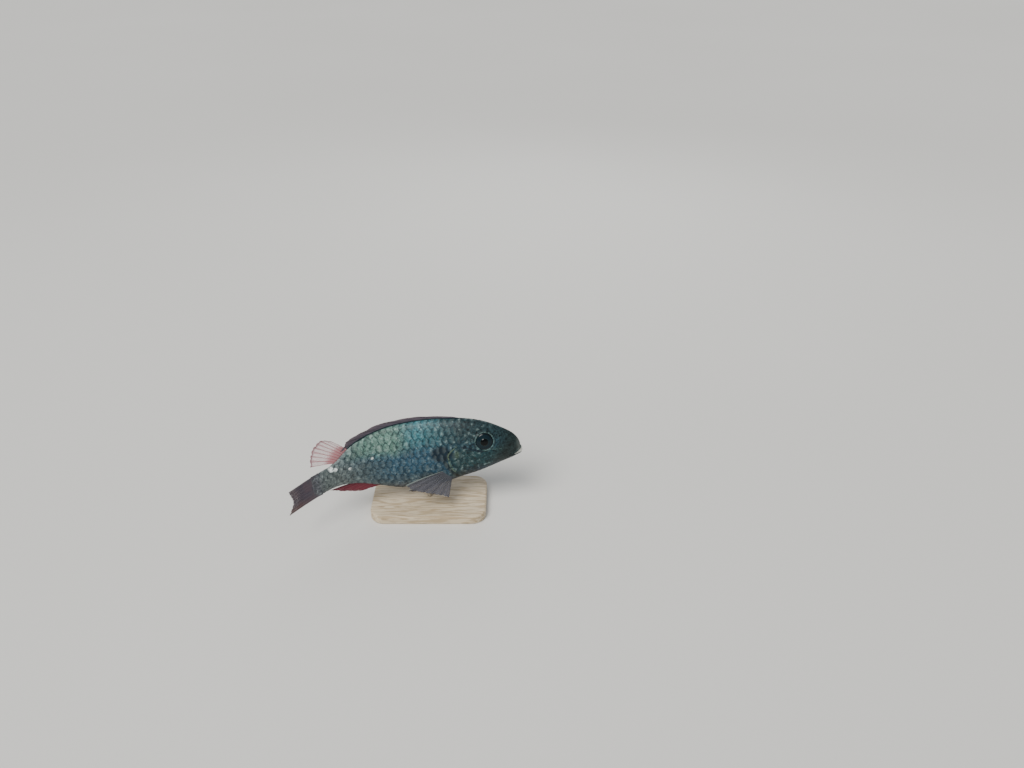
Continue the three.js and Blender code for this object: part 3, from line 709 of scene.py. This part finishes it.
# Scales stand in columns from the head to the tail fin, each half a row higher or lower than the next
scales = {
    "pitchPlaces": [0.10, 0.20, 0.34, 0.42, 0.60, 0.72, 0.80, 0.92, 1.03],
    "pitch": [2.6, 3.8, 4.8, 5.2, 5.2, 5.2, 5.0, 4.4, 3.4],
    "row": 7.2 * mm, "rowShrink": 0.62,
    "faceRow": 0.66, "faceFrom": 0.16, "faceOver": 0.18,
    "lengthShare": 2.0, "tallShare": 0.82,
    "rearRound": 0.40, "rearPower": 1.9, "frontBow": 0.10, "neck": 0.14,
    "thick": 0.10 * mm, "slope": 0.040, "dome": 0.03 * mm, "rootDepth": 0.35 * mm,
    "across": 14, "along": 13,
    "from": 0.12, "to": 1.03, "deepest": 0.44,
    "flapGap": 0.9 * mm, "eyeGap": 3.0 * mm, "overEnd": 0.4 * mm,
}
# How far each scale may differ from the next: in reach, in width, in height up the flank and in lift
jitter = {"shift": 0.09, "spread": 0.06, "toss": 0.07, "lift": 0.02 * mm}
pitchAt = through(scales["pitchPlaces"], scales["pitch"])


def rowPitch(at):
    face = mix(scales["faceRow"], 1, ease((at - scales["faceFrom"]) / scales["faceOver"]))
    return scales["row"] * face * (girth(at) / girth(scales["deepest"])) ** scales["rowShrink"]


def isScaled(at, turn, side):
    point = skinPoint(np.array(at), np.array(turn))
    clear = float(eyeDistance(point, side)) > eye["radius"] + scales["eyeGap"]
    return clear and at > float(scaledFrom(point[2] / standardLength))


# Where each scale's free tip lies: share behind the snout, and half rows up from mid flank
def scaleTips(side, region):
    tips = []
    at = scales["from"]
    column = 0
    while at < scales["to"]:
        pitch = float(rowPitch(at))
        reach = float(girth(at)) / 4 + scales["overEnd"]
        rowCount = int(reach / pitch / 2) + 2
        for k in range(-rowCount, rowCount + 1):
            row = 2 * k + column % 2
            if abs(row * pitch) > reach:
                continue
            turn = float(turnAtArc(np.array(at), np.array(row * pitch), side))
            toEdge = (float(headEnd(turn)) - at) * standardLength
            gap = scales["flapGap"] if float(coverSide(turn)) > 0.15 else 0.0
            onHead = toEdge > gap
            if abs(toEdge) < gap or onHead != (region == "head"):
                continue
            if onHead and not isScaled(at, turn, side):
                continue
            tips.append((at, row))
        at += float(pitchAt(at)) * mm / 2 / standardLength
        column += 1
    return np.array(tips)


# The faces of a thin plate: a grid of points, the same grid below it, and the strip round its edge
def plateFaces(rows, columns):
    grid = gridFaces(rows, columns)
    each = rows * columns
    number = np.arange(each).reshape(rows, columns)
    here = np.concatenate([number[0, :-1], number[:-1, -1], number[-1, :0:-1], number[:0:-1, 0]])
    after = np.roll(here, -1)
    strip = np.stack([here, after, after + each, here + each], axis=-1)
    return np.concatenate([grid[:, ::-1], grid + each, strip])


def makeScales(name, side, region, material, rng):
    tips = scaleTips(side, region)
    count = len(tips)
    shift = rng.uniform(-jitter["shift"], jitter["shift"], (count, 1, 1))
    tip = tips[:, 0, None, None]
    row = tips[:, 1, None, None]
    length = pitchAt(tip) * mm * scales["lengthShare"]
    spread = rng.uniform(1 - jitter["spread"], 1 + jitter["spread"], (count, 1, 1))
    toss = rng.uniform(-1, 1, (count, 1, 1))
    tone = rng.uniform(0, 1, (count, 1, 1))

    # One scale over across, from -1 to 1, and along, from its root to its free edge
    across = np.sin(np.linspace(-1, 1, scales["across"] + 1) * quarter)[None, None, :]
    along = np.sin(np.linspace(0, 1, scales["along"] + 1) * quarter)[None, :, None]
    rear = 1 - (scales["rearRound"] + 0.3 * shift) * np.abs(across) ** scales["rearPower"]
    share = mix(scales["frontBow"] * across ** 2, rear, along)
    narrow = 1 - scales["neck"] * (1 - ease(share / 0.5))
    at = tip - (1 - share - shift * share * 0.5) * length / standardLength
    rows = row + across * scales["tallShare"] * narrow * spread + jitter["toss"] * toss * share
    turn = turnAtArc(at, rows * rowPitch(at), side)

    # Its lift over the body: the root dips under the scale before, the free edge rises over the next
    plain = headLift(at, turn) if region == "head" else 0.0
    cover = np.where(at < headEnd(turn), scaleCover(at, turn), 1)
    dome = scales["dome"] * (1 - across ** 2) * np.sin(share * math.pi)
    rise = scales["slope"] * share * length * mix(0.4, 1, cover)
    root = scales["rootDepth"] * (1 - ease(share / mix(0.85, 0.35, cover)))
    lift = plain - skin["scaleDepth"] * cover + rise + dome - root - jitter["lift"] * toss
    thick = scales["thick"] * (1 - 0.6 * along ** 4) * (1 - 0.5 * across ** 6)
    plates = [raisedPoint(at, turn, lift + thick / 2), raisedPoint(at, turn, lift - thick / 2)]
    points = np.stack(plates, axis=1).reshape(-1, 3)
    grid = (scales["along"] + 1, scales["across"] + 1)
    plate = plateFaces(*grid)[:, ::side]
    faces = (np.arange(count)[:, None, None] * 2 * grid[0] * grid[1] + plate[None]).reshape(-1, 4)

    def both(value):
        whole = np.broadcast_to(value, (count, *grid))
        return np.stack([whole, whole], axis=1)

    middle = scales["across"] // 2
    rootAt = at[:, :1, middle:middle + 1]
    rootTurn = (turn[:, :1, middle:middle + 1] + quarter) % (2 * math.pi)
    u = unwrap["edge"] + unwrap["long"] * rootAt + unwrap["patch"] * (share - 0.5)
    v = unwrap["edge"] + unwrap["round"] * rootTurn / (2 * math.pi) + unwrap["patch"] * across / 2
    uv = np.stack([both(u), both(v)], axis=-1).reshape(-1, 2)
    values = {
        "bodyAt": both(at),
        "bodyUp": points[:, 2] / standardLength,
        "margin": both(np.maximum(along, np.abs(across) * ease(share / 0.55))),
        "tone": both(tone),
        "ring": both(np.hypot(across * 0.9, share * 1.1 - 0.35)),
        "spoke": both(np.arctan2(across, share + 0.25)),
    }
    print(name, "has", count, "scales and", 2 * len(faces), "triangles")
    makePiece(name, posed(points), [faces], material, [], values, uv)


# Fins: a two-sided membrane over u and v from 0 to 1, its rays raised and branching to the margin
membrane = {"half": 0.09 * mm, "tipRise": 0.35, "rootFade": 0.14, "edgeFrom": 0.93, "edge": 0.35}
rayForm = {
    "softRoot": 0.17, "softTip": 0.055, "spineRoot": 0.20, "spineTip": 0.09, "jointRise": 0.1,
    "fork": 0.13, "forkFrom": 0.38, "secondFork": 0.062, "secondFrom": 0.66,
}


def besideRay(u, fin):
    ray = u * (fin["rays"] - 1)
    return ray - np.round(ray)


# A wave across the membrane, one way at each ray and the other at the next
def rippled(u, fin):
    return np.sin(u * (fin["rays"] - 1) * math.pi)


def rayRelief(u, v, fin):
    offset = besideRay(u, fin)
    soft = np.round(u * (fin["rays"] - 1)) >= fin.get("spines", 0)
    first = ease((v - rayForm["forkFrom"]) / (1 - rayForm["forkFrom"]))
    second = ease((v - rayForm["secondFrom"]) / (1 - rayForm["secondFrom"]))
    firstFork = rayForm["fork"] * first * soft
    secondFork = rayForm["secondFork"] * second * soft
    away = np.abs(np.abs(offset) - firstFork)
    away = np.where(secondFork > 0, np.abs(away - secondFork), away)
    softWidth = mix(rayForm["softRoot"], rayForm["softTip"], ease(v))
    width = np.where(soft, softWidth, mix(rayForm["spineRoot"], rayForm["spineTip"], v))
    joints = rayForm["jointRise"] * (np.sin(v * fin["joints"] * 2 * math.pi) * soft - 1)
    return ease(1 - away / width), 1 + joints


# Points and faces of one membrane, and the values and places of its points for the finish
def finPlate(fin, middle):
    columns = (fin["rays"] - 1) * fin["perRay"] + 1
    rows = fin["rows"] + 1
    outwards = np.linspace(fin.get("rootFrom", 0.0), 1, rows)
    u, v = np.meshgrid(np.linspace(0, 1, columns), outwards, indexing="xy")
    nudge = 0.0005
    sideways = middle(u + nudge, v) - middle(u - nudge, v)
    outward = middle(u, v + nudge) - middle(u, v - nudge)
    normal = unit(np.cross(sideways, outward))
    ridge, segments = rayRelief(u, v, fin)
    height = fin["rise"] * ridge * segments * mix(1.0, membrane["tipRise"], v)
    root = fin["rootHalf"] * (1 - ease(v / membrane["rootFade"]))
    edge = mix(1.0, membrane["edge"], ease((v - membrane["edgeFrom"]) / (1 - membrane["edgeFrom"])))
    thick = normal * ((membrane["half"] + height) * edge + root)[..., None]
    centre = middle(u, v)
    points = np.stack([centre + thick, centre - thick]).reshape(-1, 3)
    values = {"finU": u, "finV": v, "ray": ridge, "fan": np.full_like(u, fin.get("fan", 0))}
    doubled = {key: np.tile(value.ravel(), 2) for key, value in values.items()}
    return points, plateFaces(rows, columns), doubled


def makeFin(name, node, plates, material):
    offset = 0
    faces = []
    for points, part, values in plates:
        faces.append(part + offset)
        offset += len(points)
    points = np.concatenate([plate[0] for plate in plates])
    values = {key: np.concatenate([plate[2][key] for plate in plates]) for key in plates[0][2]}
    share = (values["finU"] + values["fan"]) / (1 + values["fan"].max())
    uv = np.stack([0.02 + 0.96 * share, 0.12 + 0.86 * values["finV"]], axis=-1)
    makePiece(name, posed(points), faces, material, [node], values, uv)


# The front of the dorsal fin is folded down along the back, and its rear is spread
foldedDorsal = {
    "rays": 13, "spines": 9, "perRay": 12, "rows": 44, "joints": 16,
    "rise": 0.18 * mm, "rootHalf": 0.22 * mm, "rootFrom": -0.12, "buried": 1.3 * mm,
    "base": [0.285, 0.45, 0.60, 0.72, 0.80, 0.848],
    "length": [0.038, 0.057, 0.092, 0.097, 0.047, 0.024],
    "riseAngle": [10, 19, 15, 15, 20, 33],
}
spreadDorsal = {
    "rays": 9, "spines": 0, "perRay": 16, "rows": 56, "joints": 20, "fan": 1,
    "rise": 0.20 * mm, "rootHalf": 0.25 * mm, "rootFrom": -0.10, "buried": 0.9 * mm,
    "base": [0.838, 0.858, 0.878, 0.899, 0.920],
    "length": [0.080, 0.113, 0.117, 0.110, 0.099],
    "riseAngle": [74, 78, 75, 61, 35],
    "lean": [28, 32, 36, 38, 38],
}
analFin = {
    "rays": 10, "spines": 2, "perRay": 16, "rows": 48, "joints": 16,
    "rise": 0.20 * mm, "rootHalf": 0.25 * mm, "rootFrom": -0.10, "buried": 0.9 * mm,
    "base": [0.71, 0.75, 0.79, 0.825, 0.86],
    "length": [0.042, 0.069, 0.087, 0.100, 0.102],
    "riseAngle": [28, 38, 29, 18, 9],
}
tailFin = {
    "rays": 15, "perRay": 16, "rows": 56, "joints": 24,
    "rise": 0.22 * mm, "rootHalf": 0.5 * mm, "baseAt": 1.002, "baseHalf": 0.059,
    "tips": [(1.198, -0.062), (1.163, -0.004), (1.176, 0.056)],
}
finGap = 0.35 * mm  # from the body's plain surface to the root of a fin on back or keel


# A fin on the back (way 1) or under the keel (way -1): its rays lie back from the body line
def medianSurface(fin, line, way):
    places = np.linspace(0, 1, len(fin["base"]))
    baseAt = through(places, fin["base"])
    lengthAt = through(places, fin["length"])
    riseAt = through(places, np.radians(fin["riseAngle"]))
    leanAt = through(places, np.radians(fin.get("lean", np.zeros(len(places)))))

    def surface(u, v):
        at = baseAt(u)
        between = np.abs(besideRay(u, fin)) * 2
        notch = np.where(np.round(u * (fin["rays"] - 1)) < fin["spines"], 0.07, 0.035) * between ** 1.5
        reach = lengthAt(u) * (1 - notch * np.maximum(v, 0)) * standardLength * v
        slope = np.arctan2((line(at + probe) - line(at - probe)) * way, 2 * probe)
        lean = leanAt(u) * ease(v / 0.5)
        out = reach * np.sin(riseAt(u))
        along = reach * np.cos(riseAt(u))
        up = along * np.sin(slope) + out * np.cos(lean) * np.cos(slope)
        behind = along * np.cos(slope) - out * np.sin(slope)
        buried = fin["buried"] * np.clip(v / fin["rootFrom"], 0, 1)
        ripple = 0.2 * mm * rippled(u, fin) * ease(v / 0.6)
        return np.stack(np.broadcast_arrays(
            -at * standardLength - behind,
            out * np.sin(lean) + ripple,
            line(at) * standardLength + way * (finGap + up - buried),
        ), axis=-1)

    return surface


# The tail fin: its rays run from the end of the stem to a margin through three tips, lowest first
def tailSurface(u, v):
    reachAt, heightAt = [through([0, 0.5, 1], tips) for tips in zip(*tailFin["tips"])]
    height = mix(tailFin["baseHalf"] * (2 * u - 1), heightAt(u), v)
    between = np.abs(besideRay(u, tailFin)) * 2
    at = mix(tailFin["baseAt"], reachAt(u) - 0.004 * between ** 1.5 * np.maximum(v, 0), v)
    ripple = 0.0015 * rippled(u, tailFin) * ease(v)
    return np.stack(np.broadcast_arrays(-at, ripple, height), axis=-1) * standardLength


# The paired fins: root on the flank, how deep it is sunk, and first and last ray behind, below and out
pectoral = {
    "rays": 12, "spines": 0, "perRay": 14, "rows": 56, "joints": 26,
    "rise": 0.15 * mm, "rootHalf": 0.35 * mm, "sunk": 1.2 * mm,
    "root": [(0.362, -0.082), (0.345, -0.136)],
}
pelvic = {
    "rays": 6, "spines": 1, "perRay": 18, "rows": 48, "joints": 20,
    "rise": 0.20 * mm, "rootHalf": 0.35 * mm, "sunk": 0.4 * mm,
    "root": [(0.358, -0.162), (0.384, -0.175)],
}
pairedWays = {
    "pectoral_fin_right": (pectoral, -1, [0.227, 0.020, 0.060], [0.021, 0.068, 0.080]),
    "pectoral_fin_left": (pectoral, 1, [0.226, 0.024, 0.050], [0.036, 0.076, 0.060]),
    "pelvic_fin_right": (pelvic, -1, [0.215, 0.018, 0.024], [0.105, 0.036, 0.010]),
    "pelvic_fin_left": (pelvic, 1, [0.208, 0.030, 0.032], [0.105, 0.036, 0.010]),
}
pairedFullness = 0.22


def pairedSurface(fin, side, *ways):
    top, low = [flankPoint(at, height, side) for at, height in fin["root"]]
    normal = flankNormal(*fin["root"][0], side)
    first, last = [np.array([-behind, out * side, -below]) for behind, below, out in ways]

    def surface(u, v):
        between = np.abs(besideRay(u, fin))[..., None] * 2
        u = u[..., None]
        v = v[..., None]
        root = mix(top, low, u) - normal * fin["sunk"]
        way = mix(first, last, u)
        size = np.linalg.norm(way, axis=-1, keepdims=True)
        fullness = 1 + pairedFullness * np.sin(u * math.pi) * (1 - u)
        reach = size * fullness * (1 - 0.025 * between ** 1.5 * v)
        ripple = 0.25 * mm * rippled(u, fin) * ease(v / 0.7)
        return root + way / size * reach * standardLength * v + normal * ripple

    return surface


def finShader(name, rough):
    shader = Shader(name, Roughness=rough, IOR=1.36, Specular_IOR_Level=0.35, Coat_Weight=0.05,
                    Coat_Roughness=0.2)
    return shader, shader.value("finV"), shader.value("ray"), shader.noise(700.0, 3.0)


def finFinish(shader, tint, clear, fine, ray):
    return shader.finish(Base_Color=tint, Alpha=1 - clear, Normal=shader.bump(fine + ray, 0.08 * mm, 0.5))


# Folded part dusky with a dark line along the back; spread part red along its rays and clear outside
def dorsalMaterial():
    shader, v, ray, fine = finShader("red banded fin", 0.5)
    fan = shader.value("fan")
    spread = shader.blend(v.between(0.20, 0.55), colour(166, 122, 125), colour(192, 166, 168))
    rays = shader.blend(v.between(0.46, 0.76), colour(136, 48, 56), colour(166, 116, 120))
    spread = shader.blend(ray.between(0.3, 0.9), spread, rays)
    spread = shader.blend(v.between(0.88, 0.97) * 0.7, spread, colour(112, 70, 78))
    strip = shader.blend(ray, colour(82, 74, 84), colour(64, 58, 68))
    strip = shader.blend(v.between(0.55, 0.95) * 0.6, strip, colour(104, 92, 98))
    strip = shader.blend(v.between(0.16, 0.04), strip, paint["edge"])
    tint = shader.blend(fan, strip, spread)
    tint = shader.blend((fine - 0.4) * 0.3, tint, paint["edge"])
    clear = fan * v.between(0.15, 0.5) * (1 - ray.between(0.05, 0.6)) * v.between(0.98, 0.92)
    return finFinish(shader, tint, clear * 0.72, fine, ray)


def analMaterial():
    shader, v, ray, fine = finShader("crimson fin", 0.48)
    tint = shader.blend(ray, colour(122, 56, 68), colour(98, 33, 46))
    tint = shader.blend(v.between(0.84, 0.98) * 0.5, tint, colour(130, 68, 80))
    tint = shader.blend((fine - 0.4) * 0.4, tint, colour(54, 12, 20))
    clear = v.between(0.55, 0.9) * (1 - ray.between(0.05, 0.6))
    return finFinish(shader, tint, clear * 0.2, fine, ray)


def tailMaterial():
    shader, v, ray, fine = finShader("dusky tail fin", 0.5)
    blotch = shader.noise(160.0, 2.0)
    tint = shader.blend(v.between(0.05, 0.5), paint["stemEnd"], colour(82, 75, 86))
    tint = shader.blend(v.between(0.5, 0.95) * 0.6, tint, colour(98, 84, 92))
    tint = shader.blend(ray * 0.5, tint, colour(56, 50, 60))
    tint = shader.blend(blotch.between(0.45, 0.62) * 0.3, tint, colour(108, 84, 90))
    lower = shader.value("finU").between(0.36, 0.04)
    tint = shader.blend(lower * v.between(0.2, 0.8) * 0.7, tint, colour(110, 82, 78))
    clear = v.between(0.55, 0.95) * (1 - ray.between(0.05, 0.6))
    return finFinish(shader, tint, clear * 0.3, fine, ray)


# Pectoral and pelvic fins: a clear grey-brown membrane with a pale leading ray
def paleFinMaterial():
    shader, v, ray, fine = finShader("clear fin", 0.45)
    leading = shader.value("finU").between(0.06, 0.015)
    tint = shader.blend(v.between(0.1, 0.8), colour(74, 77, 84), colour(88, 88, 95))
    tint = shader.blend(ray * 0.6, tint, colour(66, 66, 72))
    tint = shader.blend(leading * 0.8, tint, colour(112, 122, 118))
    clear = (1 - ray.between(0.05, 0.6)) * v.between(0.05, 0.3) * (1 - leading)
    return finFinish(shader, tint, clear * 0.38, fine, ray)


# Eyes: a sunk flattened ball with a sloping iris and the lens bulging through the pupil
pupil = {"radius": 2.9 * mm, "bulge": 0.20 * mm, "wall": 0.25, "oval": 0.08, "ahead": 0.2}
iris = {"radius": 5.6 * mm, "dish": 0.24 * mm, "edge": 0.9 * mm, "dishFrom": 0.6, "dishOver": 2.0 * mm}
eyeGrid = {"rings": 84, "slices": 128}
behindEyeBall = 9  # the value that stands for the ball's hidden back, in mm from its middle


def makeEye(name, node, side, material):
    normal = flankNormal(eye["at"], eye["height"], side)
    centre = flankPoint(eye["at"], eye["height"], side) - normal * eye["sunk"]
    ahead = unit(np.cross(normal, [0, 0, 1.0]))
    upward = np.cross(ahead, normal)
    rings = eyeGrid["rings"]
    slices = eyeGrid["slices"]
    polar = np.linspace(0, math.pi, rings + 1)[1:-1, None]
    turn = (np.arange(slices) / slices * 2 * math.pi)[None, :]
    away = np.sin(polar) * eye["radius"] * np.ones_like(turn)
    oval = 1 + pupil["oval"] * np.cos(turn * side - pupil["ahead"])
    lens = pupil["bulge"] * ease((1 - away / pupil["radius"] / oval) / pupil["wall"])
    slopeIn = ease((iris["radius"] - away) / iris["edge"])
    dish = iris["dish"] * slopeIn * ease((away - pupil["radius"] * iris["dishFrom"]) / iris["dishOver"])
    front = np.cos(polar) > 0
    out = np.cos(polar) * eye["depth"] + front * (lens - dish)
    ball = centre + (away * np.cos(turn))[..., None] * ahead + (away * np.sin(turn))[..., None] * upward
    ball = ball + out[..., None] * normal
    tips = np.array([centre + normal * (eye["depth"] + pupil["bulge"]), centre - normal * eye["depth"]])
    points = np.concatenate([ball.reshape(-1, 3), tips])
    faces = gridFaces(rings - 1, slices, closed=True)
    j = np.arange(slices)
    after = (j + 1) % slices
    last = (rings - 2) * slices
    caps = np.concatenate([
        np.stack([np.full(slices, len(points) - 2), after, j], axis=-1),
        np.stack([np.full(slices, len(points) - 1), last + j, last + after], axis=-1),
    ])
    radial = np.where(front, away / oval / mm, behindEyeBall)
    angle = (turn * np.ones_like(polar)).ravel()
    values = {
        "away": np.append(radial.ravel(), [0, behindEyeBall]),
        "angleSin": np.append(np.sin(angle), [0, 0]),
        "angleCos": np.append(np.cos(angle), [1, 1]),
    }
    makePiece(name, posed(points), [faces, caps], material, [node], values)


def eyeMaterial():
    shader = Shader("eye", Roughness=0.12, IOR=1.34, Specular_IOR_Level=0.2, Coat_Weight=0.18,
                    Coat_Roughness=0.03)
    away = shader.value("away")
    ends = {0: shader.value("angleSin") * 3, 1: shader.value("angleCos") * 3, 2: away * 0.35}
    polar = shader.node("ShaderNodeCombineXYZ", {}, ends)
    streak = shader.noise(26.0, 3.0, vector=polar)
    tint = shader.blend(streak.between(0.35, 0.7), colour(8, 23, 30), colour(17, 40, 48))
    tint = shader.blend(away.between(3.6, 3.05) * 0.45, tint, colour(34, 56, 56))
    tint = shader.blend(away.between(3.0, 2.85), tint, colour(1, 3, 4))
    tint = shader.blend(away.between(5.5, 5.9), tint, colour(7, 17, 21))
    return shader.finish(Base_Color=tint)


# Beak: fused tooth plates with low rounded nodules in staggered rows and a seam in the middle
plateForm = {
    "steps": 150, "end": 0.97, "faceSteps": 13, "backSteps": 7,
    "edge": 0.17 * mm, "backEdge": 0.25 * mm, "crown": 0.10 * mm, "edgeOut": 0.12 * mm,
    "columns": 24, "rows": 4, "nodule": 0.10 * mm, "wave": 0.07 * mm,
    "seam": 0.12 * mm, "seamWide": 0.02,
}


def makeBeak(name, node, way, material):
    steps = plateForm["steps"]
    share = np.linspace(-plateForm["end"], plateForm["end"], steps + 1)[:, None]
    face = np.linspace(0, 1, plateForm["faceSteps"])[None, :]
    back = np.linspace(0, 1, plateForm["backSteps"])[None, :]
    line = beakLine(share)
    ahead = unit(beakLine(share + probe) - beakLine(share - probe))
    outward = unit(np.stack([ahead[..., 1], -ahead[..., 0], np.zeros_like(ahead[..., 0])], axis=-1))
    tall = beakHeight(share)
    column = share * plateForm["columns"]
    row = face * plateForm["rows"]
    stagger = np.floor(row) % 2 * 0.5
    bump = np.abs(np.sin((column + stagger) * math.pi)) * np.abs(np.sin(row * math.pi))
    sheetOut = plateForm["crown"] * np.sin(face * math.pi) + plateForm["edgeOut"] * (1 - face)
    seam = plateForm["seam"] * hump(share, plateForm["seamWide"])
    sheetOut = sheetOut + plateForm["nodule"] * bump - seam
    wave = plateForm["wave"] * (1 - np.abs(np.cos(column * math.pi)))
    level = mix(plateForm["edge"], tall, face) + wave * (1 - face)
    outer = line + outward * sheetOut[..., None]
    outer[..., 2] += way * level
    inner = (line - outward * beak["thickness"]) * np.ones_like(back)[..., None]
    inner[..., 2] += way * mix(tall, plateForm["backEdge"], back)
    rings = np.concatenate([outer, inner], axis=1)
    count = rings.shape[1]
    faces = gridFaces(steps + 1, count, closed=True)[:, ::way]
    ends = np.array([np.arange(count), np.arange(count)[::-1] + steps * count])[:, ::-way]
    hidden = np.ones((steps + 1, plateForm["backSteps"]))
    values = {
        "plate": np.concatenate([face * np.ones_like(share), hidden], axis=1),
        "bumpy": np.concatenate([bump, hidden * 0], axis=1),
    }
    makePiece(name, posed(rings.reshape(-1, 3)), [faces, ends], material, [node], values)


def beakMaterial():
    shader = Shader("tooth plate", Roughness=0.3, IOR=1.5, Coat_Weight=0.3, Coat_Roughness=0.1)
    fine = shader.noise(900.0, 3.0)
    root = shader.value("plate").between(0.2, 1.0)
    tint = shader.blend(root, colour(238, 238, 232), colour(196, 200, 188))
    tint = shader.blend((1 - shader.value("bumpy")) * 0.16, tint, colour(150, 146, 122))
    relief = shader.bump(fine, 0.05 * mm, 0.4)
    return shader.finish(Base_Color=tint, Normal=relief, Roughness=0.24 + fine * 0.15)


# Stand: pale oiled ash with open grain along its length, and a brushed steel rod
def baseMaterial():
    shader = Shader("oiled ash", Roughness=0.5, Coat_Weight=0.1, Coat_Roughness=0.3)
    drawnOut = {"Vector": shader.ground(), "Rotation": (0.0, 0.06, 0.05), "Scale": (0.10, 1.0, 1.0)}
    bowed = shader.node("ShaderNodeMapping", {}, drawnOut)
    rings = shader.noise(150.0, 2.0, vector=bowed)
    grain = shader.noise(1400.0, 5.0, vector=bowed)
    bands = (rings * 46.0).sine()
    tint = shader.blend(bands.between(-0.4, 0.9), colour(206, 190, 162), colour(178, 158, 126))
    tint = shader.blend(grain.between(0.52, 0.66) * 0.5, tint, colour(138, 116, 88))
    relief = shader.bump(grain, 0.10 * mm, 0.4)
    return shader.finish(Base_Color=tint, Normal=relief, Roughness=0.42 + grain * 0.2)


def rodMaterial():
    shader = Shader("brushed steel", Metallic=1.0, Roughness=0.3)
    closeRings = {"Vector": shader.ground(), "Scale": (1.0, 1.0, 14.0)}
    squeezed = shader.node("ShaderNodeMapping", {}, closeRings)
    lines = shader.noise(700.0, 4.0, vector=squeezed)
    tint = shader.blend(lines, colour(176, 176, 172), colour(208, 208, 204))
    relief = shader.bump(lines, 0.03 * mm, 0.4)
    return shader.finish(Base_Color=tint, Normal=relief, Roughness=0.24 + lines * 0.2)


rng = np.random.default_rng(7)
makeSkin(skinMaterial())
print("skin made")
scaleFinish = scaleMaterial()
for name, side, region in (("scales_right", -1, "body"), ("scales_left", 1, "body"),
                           ("scales_head_right", -1, "head"), ("scales_head_left", 1, "head")):
    makeScales(name, side, region, scaleFinish, rng)
print("scales made")

dorsalPlates = [finPlate(fin, medianSurface(fin, back, 1)) for fin in (foldedDorsal, spreadDorsal)]
makeFin("dorsal_fin_rays", "dorsal_fin", dorsalPlates, dorsalMaterial())
analPlate = finPlate(analFin, medianSurface(analFin, keel, -1))
makeFin("anal_fin_rays", "anal_fin", [analPlate], analMaterial())
makeFin("tail_fin_rays", "caudal_fin", [finPlate(tailFin, tailSurface)], tailMaterial())
paleFin = paleFinMaterial()
for node, (fin, *ways) in pairedWays.items():
    makeFin(node + "_rays", node, [finPlate(fin, pairedSurface(fin, *ways))], paleFin)
print("fins made")

eyeFinish = eyeMaterial()
makeEye("eye_right_ball", "eye_right", -1, eyeFinish)
makeEye("eye_left_ball", "eye_left", 1, eyeFinish)
beakFinish = beakMaterial()
makeBeak("beak_upper_plate", "beak_upper", 1, beakFinish)
makeBeak("beak_lower_plate", "beak_lower", -1, beakFinish)
print("eyes and beak made")

for nodeName, finish in (("stand_base", baseMaterial()), ("stand_rod", rodMaterial())):
    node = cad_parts[nodeName]
    node.data.materials.clear()
    node.data.materials.append(finish)


# Floor, lights and the camera at the photo's angle
def makeFloor():
    size = 6.0
    corners = np.array([[-size, -size, 0], [size, -size, 0], [size, size, 0], [-size, size, 0]])
    shader = Shader("pale floor", Roughness=0.8)
    cloud = shader.noise(1.5, 2.0)
    tint = shader.blend(cloud, colour(214, 213, 208), colour(222, 221, 217))
    mesh = bpy.data.meshes.new("floor")
    mesh.from_pydata(corners.tolist(), [], [(0, 1, 2, 3)])
    mesh.materials.append(shader.finish(Base_Color=tint))
    floor = bpy.data.objects.new("floor", mesh)
    bpy.context.scene.collection.objects.link(floor)


# Each light's kind, place, power, tint and spread: the angle that a sun fills, or a round lamp's width
lights = {
    "sun": ("SUN", (-0.5, -0.75, 1.2), 3.0, (1.0, 0.98, 0.95), 0.6),
    "key": ("AREA", (-0.25, -0.45, 0.75), 1.0, (1.0, 0.99, 0.96), 0.35),
    "rim": ("AREA", (0.15, 0.8, 0.6), 1.4, (0.95, 0.98, 1.0), 0.6),
}
lightTarget = np.array([0, 0, 0.05])
studio = {"tint": (0.93, 0.96, 1.0, 1), "strength": 0.45}


def addLight(name, kind, place, power, tint, spread):
    light = bpy.data.lights.new(name, kind)
    light.energy = power
    light.color = tint
    if kind == "AREA":
        light.shape = "DISK"
        light.size = spread
    else:
        light.angle = spread
    lamp = bpy.data.objects.new(name, light)
    bpy.context.scene.collection.objects.link(lamp)
    lamp.location = place
    way = lightTarget - np.array(place)
    tilt = math.atan2(math.hypot(way[0], way[1]), -way[2])
    lamp.rotation_euler = (tilt, 0, math.atan2(way[1], way[0]) - quarter)


view = {"down": math.radians(30), "distance": 4.42 * standardLength, "snoutX": 520.5, "snoutY": 444.0,
        "lens": 32, "sensor": 36, "width": 1024, "height": 768}


def addCamera():
    pixels = view["width"] * view["lens"] / view["sensor"]
    cos = math.cos(view["down"])
    sin = math.sin(view["down"])
    ahead = np.array([0, cos, -sin])
    upward = np.array([0, sin, cos])
    right = np.array([1.0, 0, 0])
    asideShare = (view["snoutX"] - view["width"] / 2) / pixels
    belowShare = (view["snoutY"] - view["height"] / 2) / pixels
    toSnout = view["distance"] * (ahead + right * asideShare - upward * belowShare)
    lens = bpy.data.cameras.new("camera")
    lens.lens = view["lens"]
    lens.sensor_width = view["sensor"]
    lens.clip_start = 0.01
    camera = bpy.data.objects.new("camera", lens)
    bpy.context.scene.collection.objects.link(camera)
    camera.location = carry - toSnout
    camera.rotation_euler = (quarter - view["down"], 0, 0)
    bpy.context.scene.camera = camera


makeFloor()
for name, light in lights.items():
    addLight(name, *light)
world = bpy.data.worlds.new("studio")
world.use_nodes = True
world.node_tree.nodes["Background"].inputs["Color"].default_value = studio["tint"]
world.node_tree.nodes["Background"].inputs["Strength"].default_value = studio["strength"]
bpy.context.scene.world = world
addCamera()
print("stage ready")
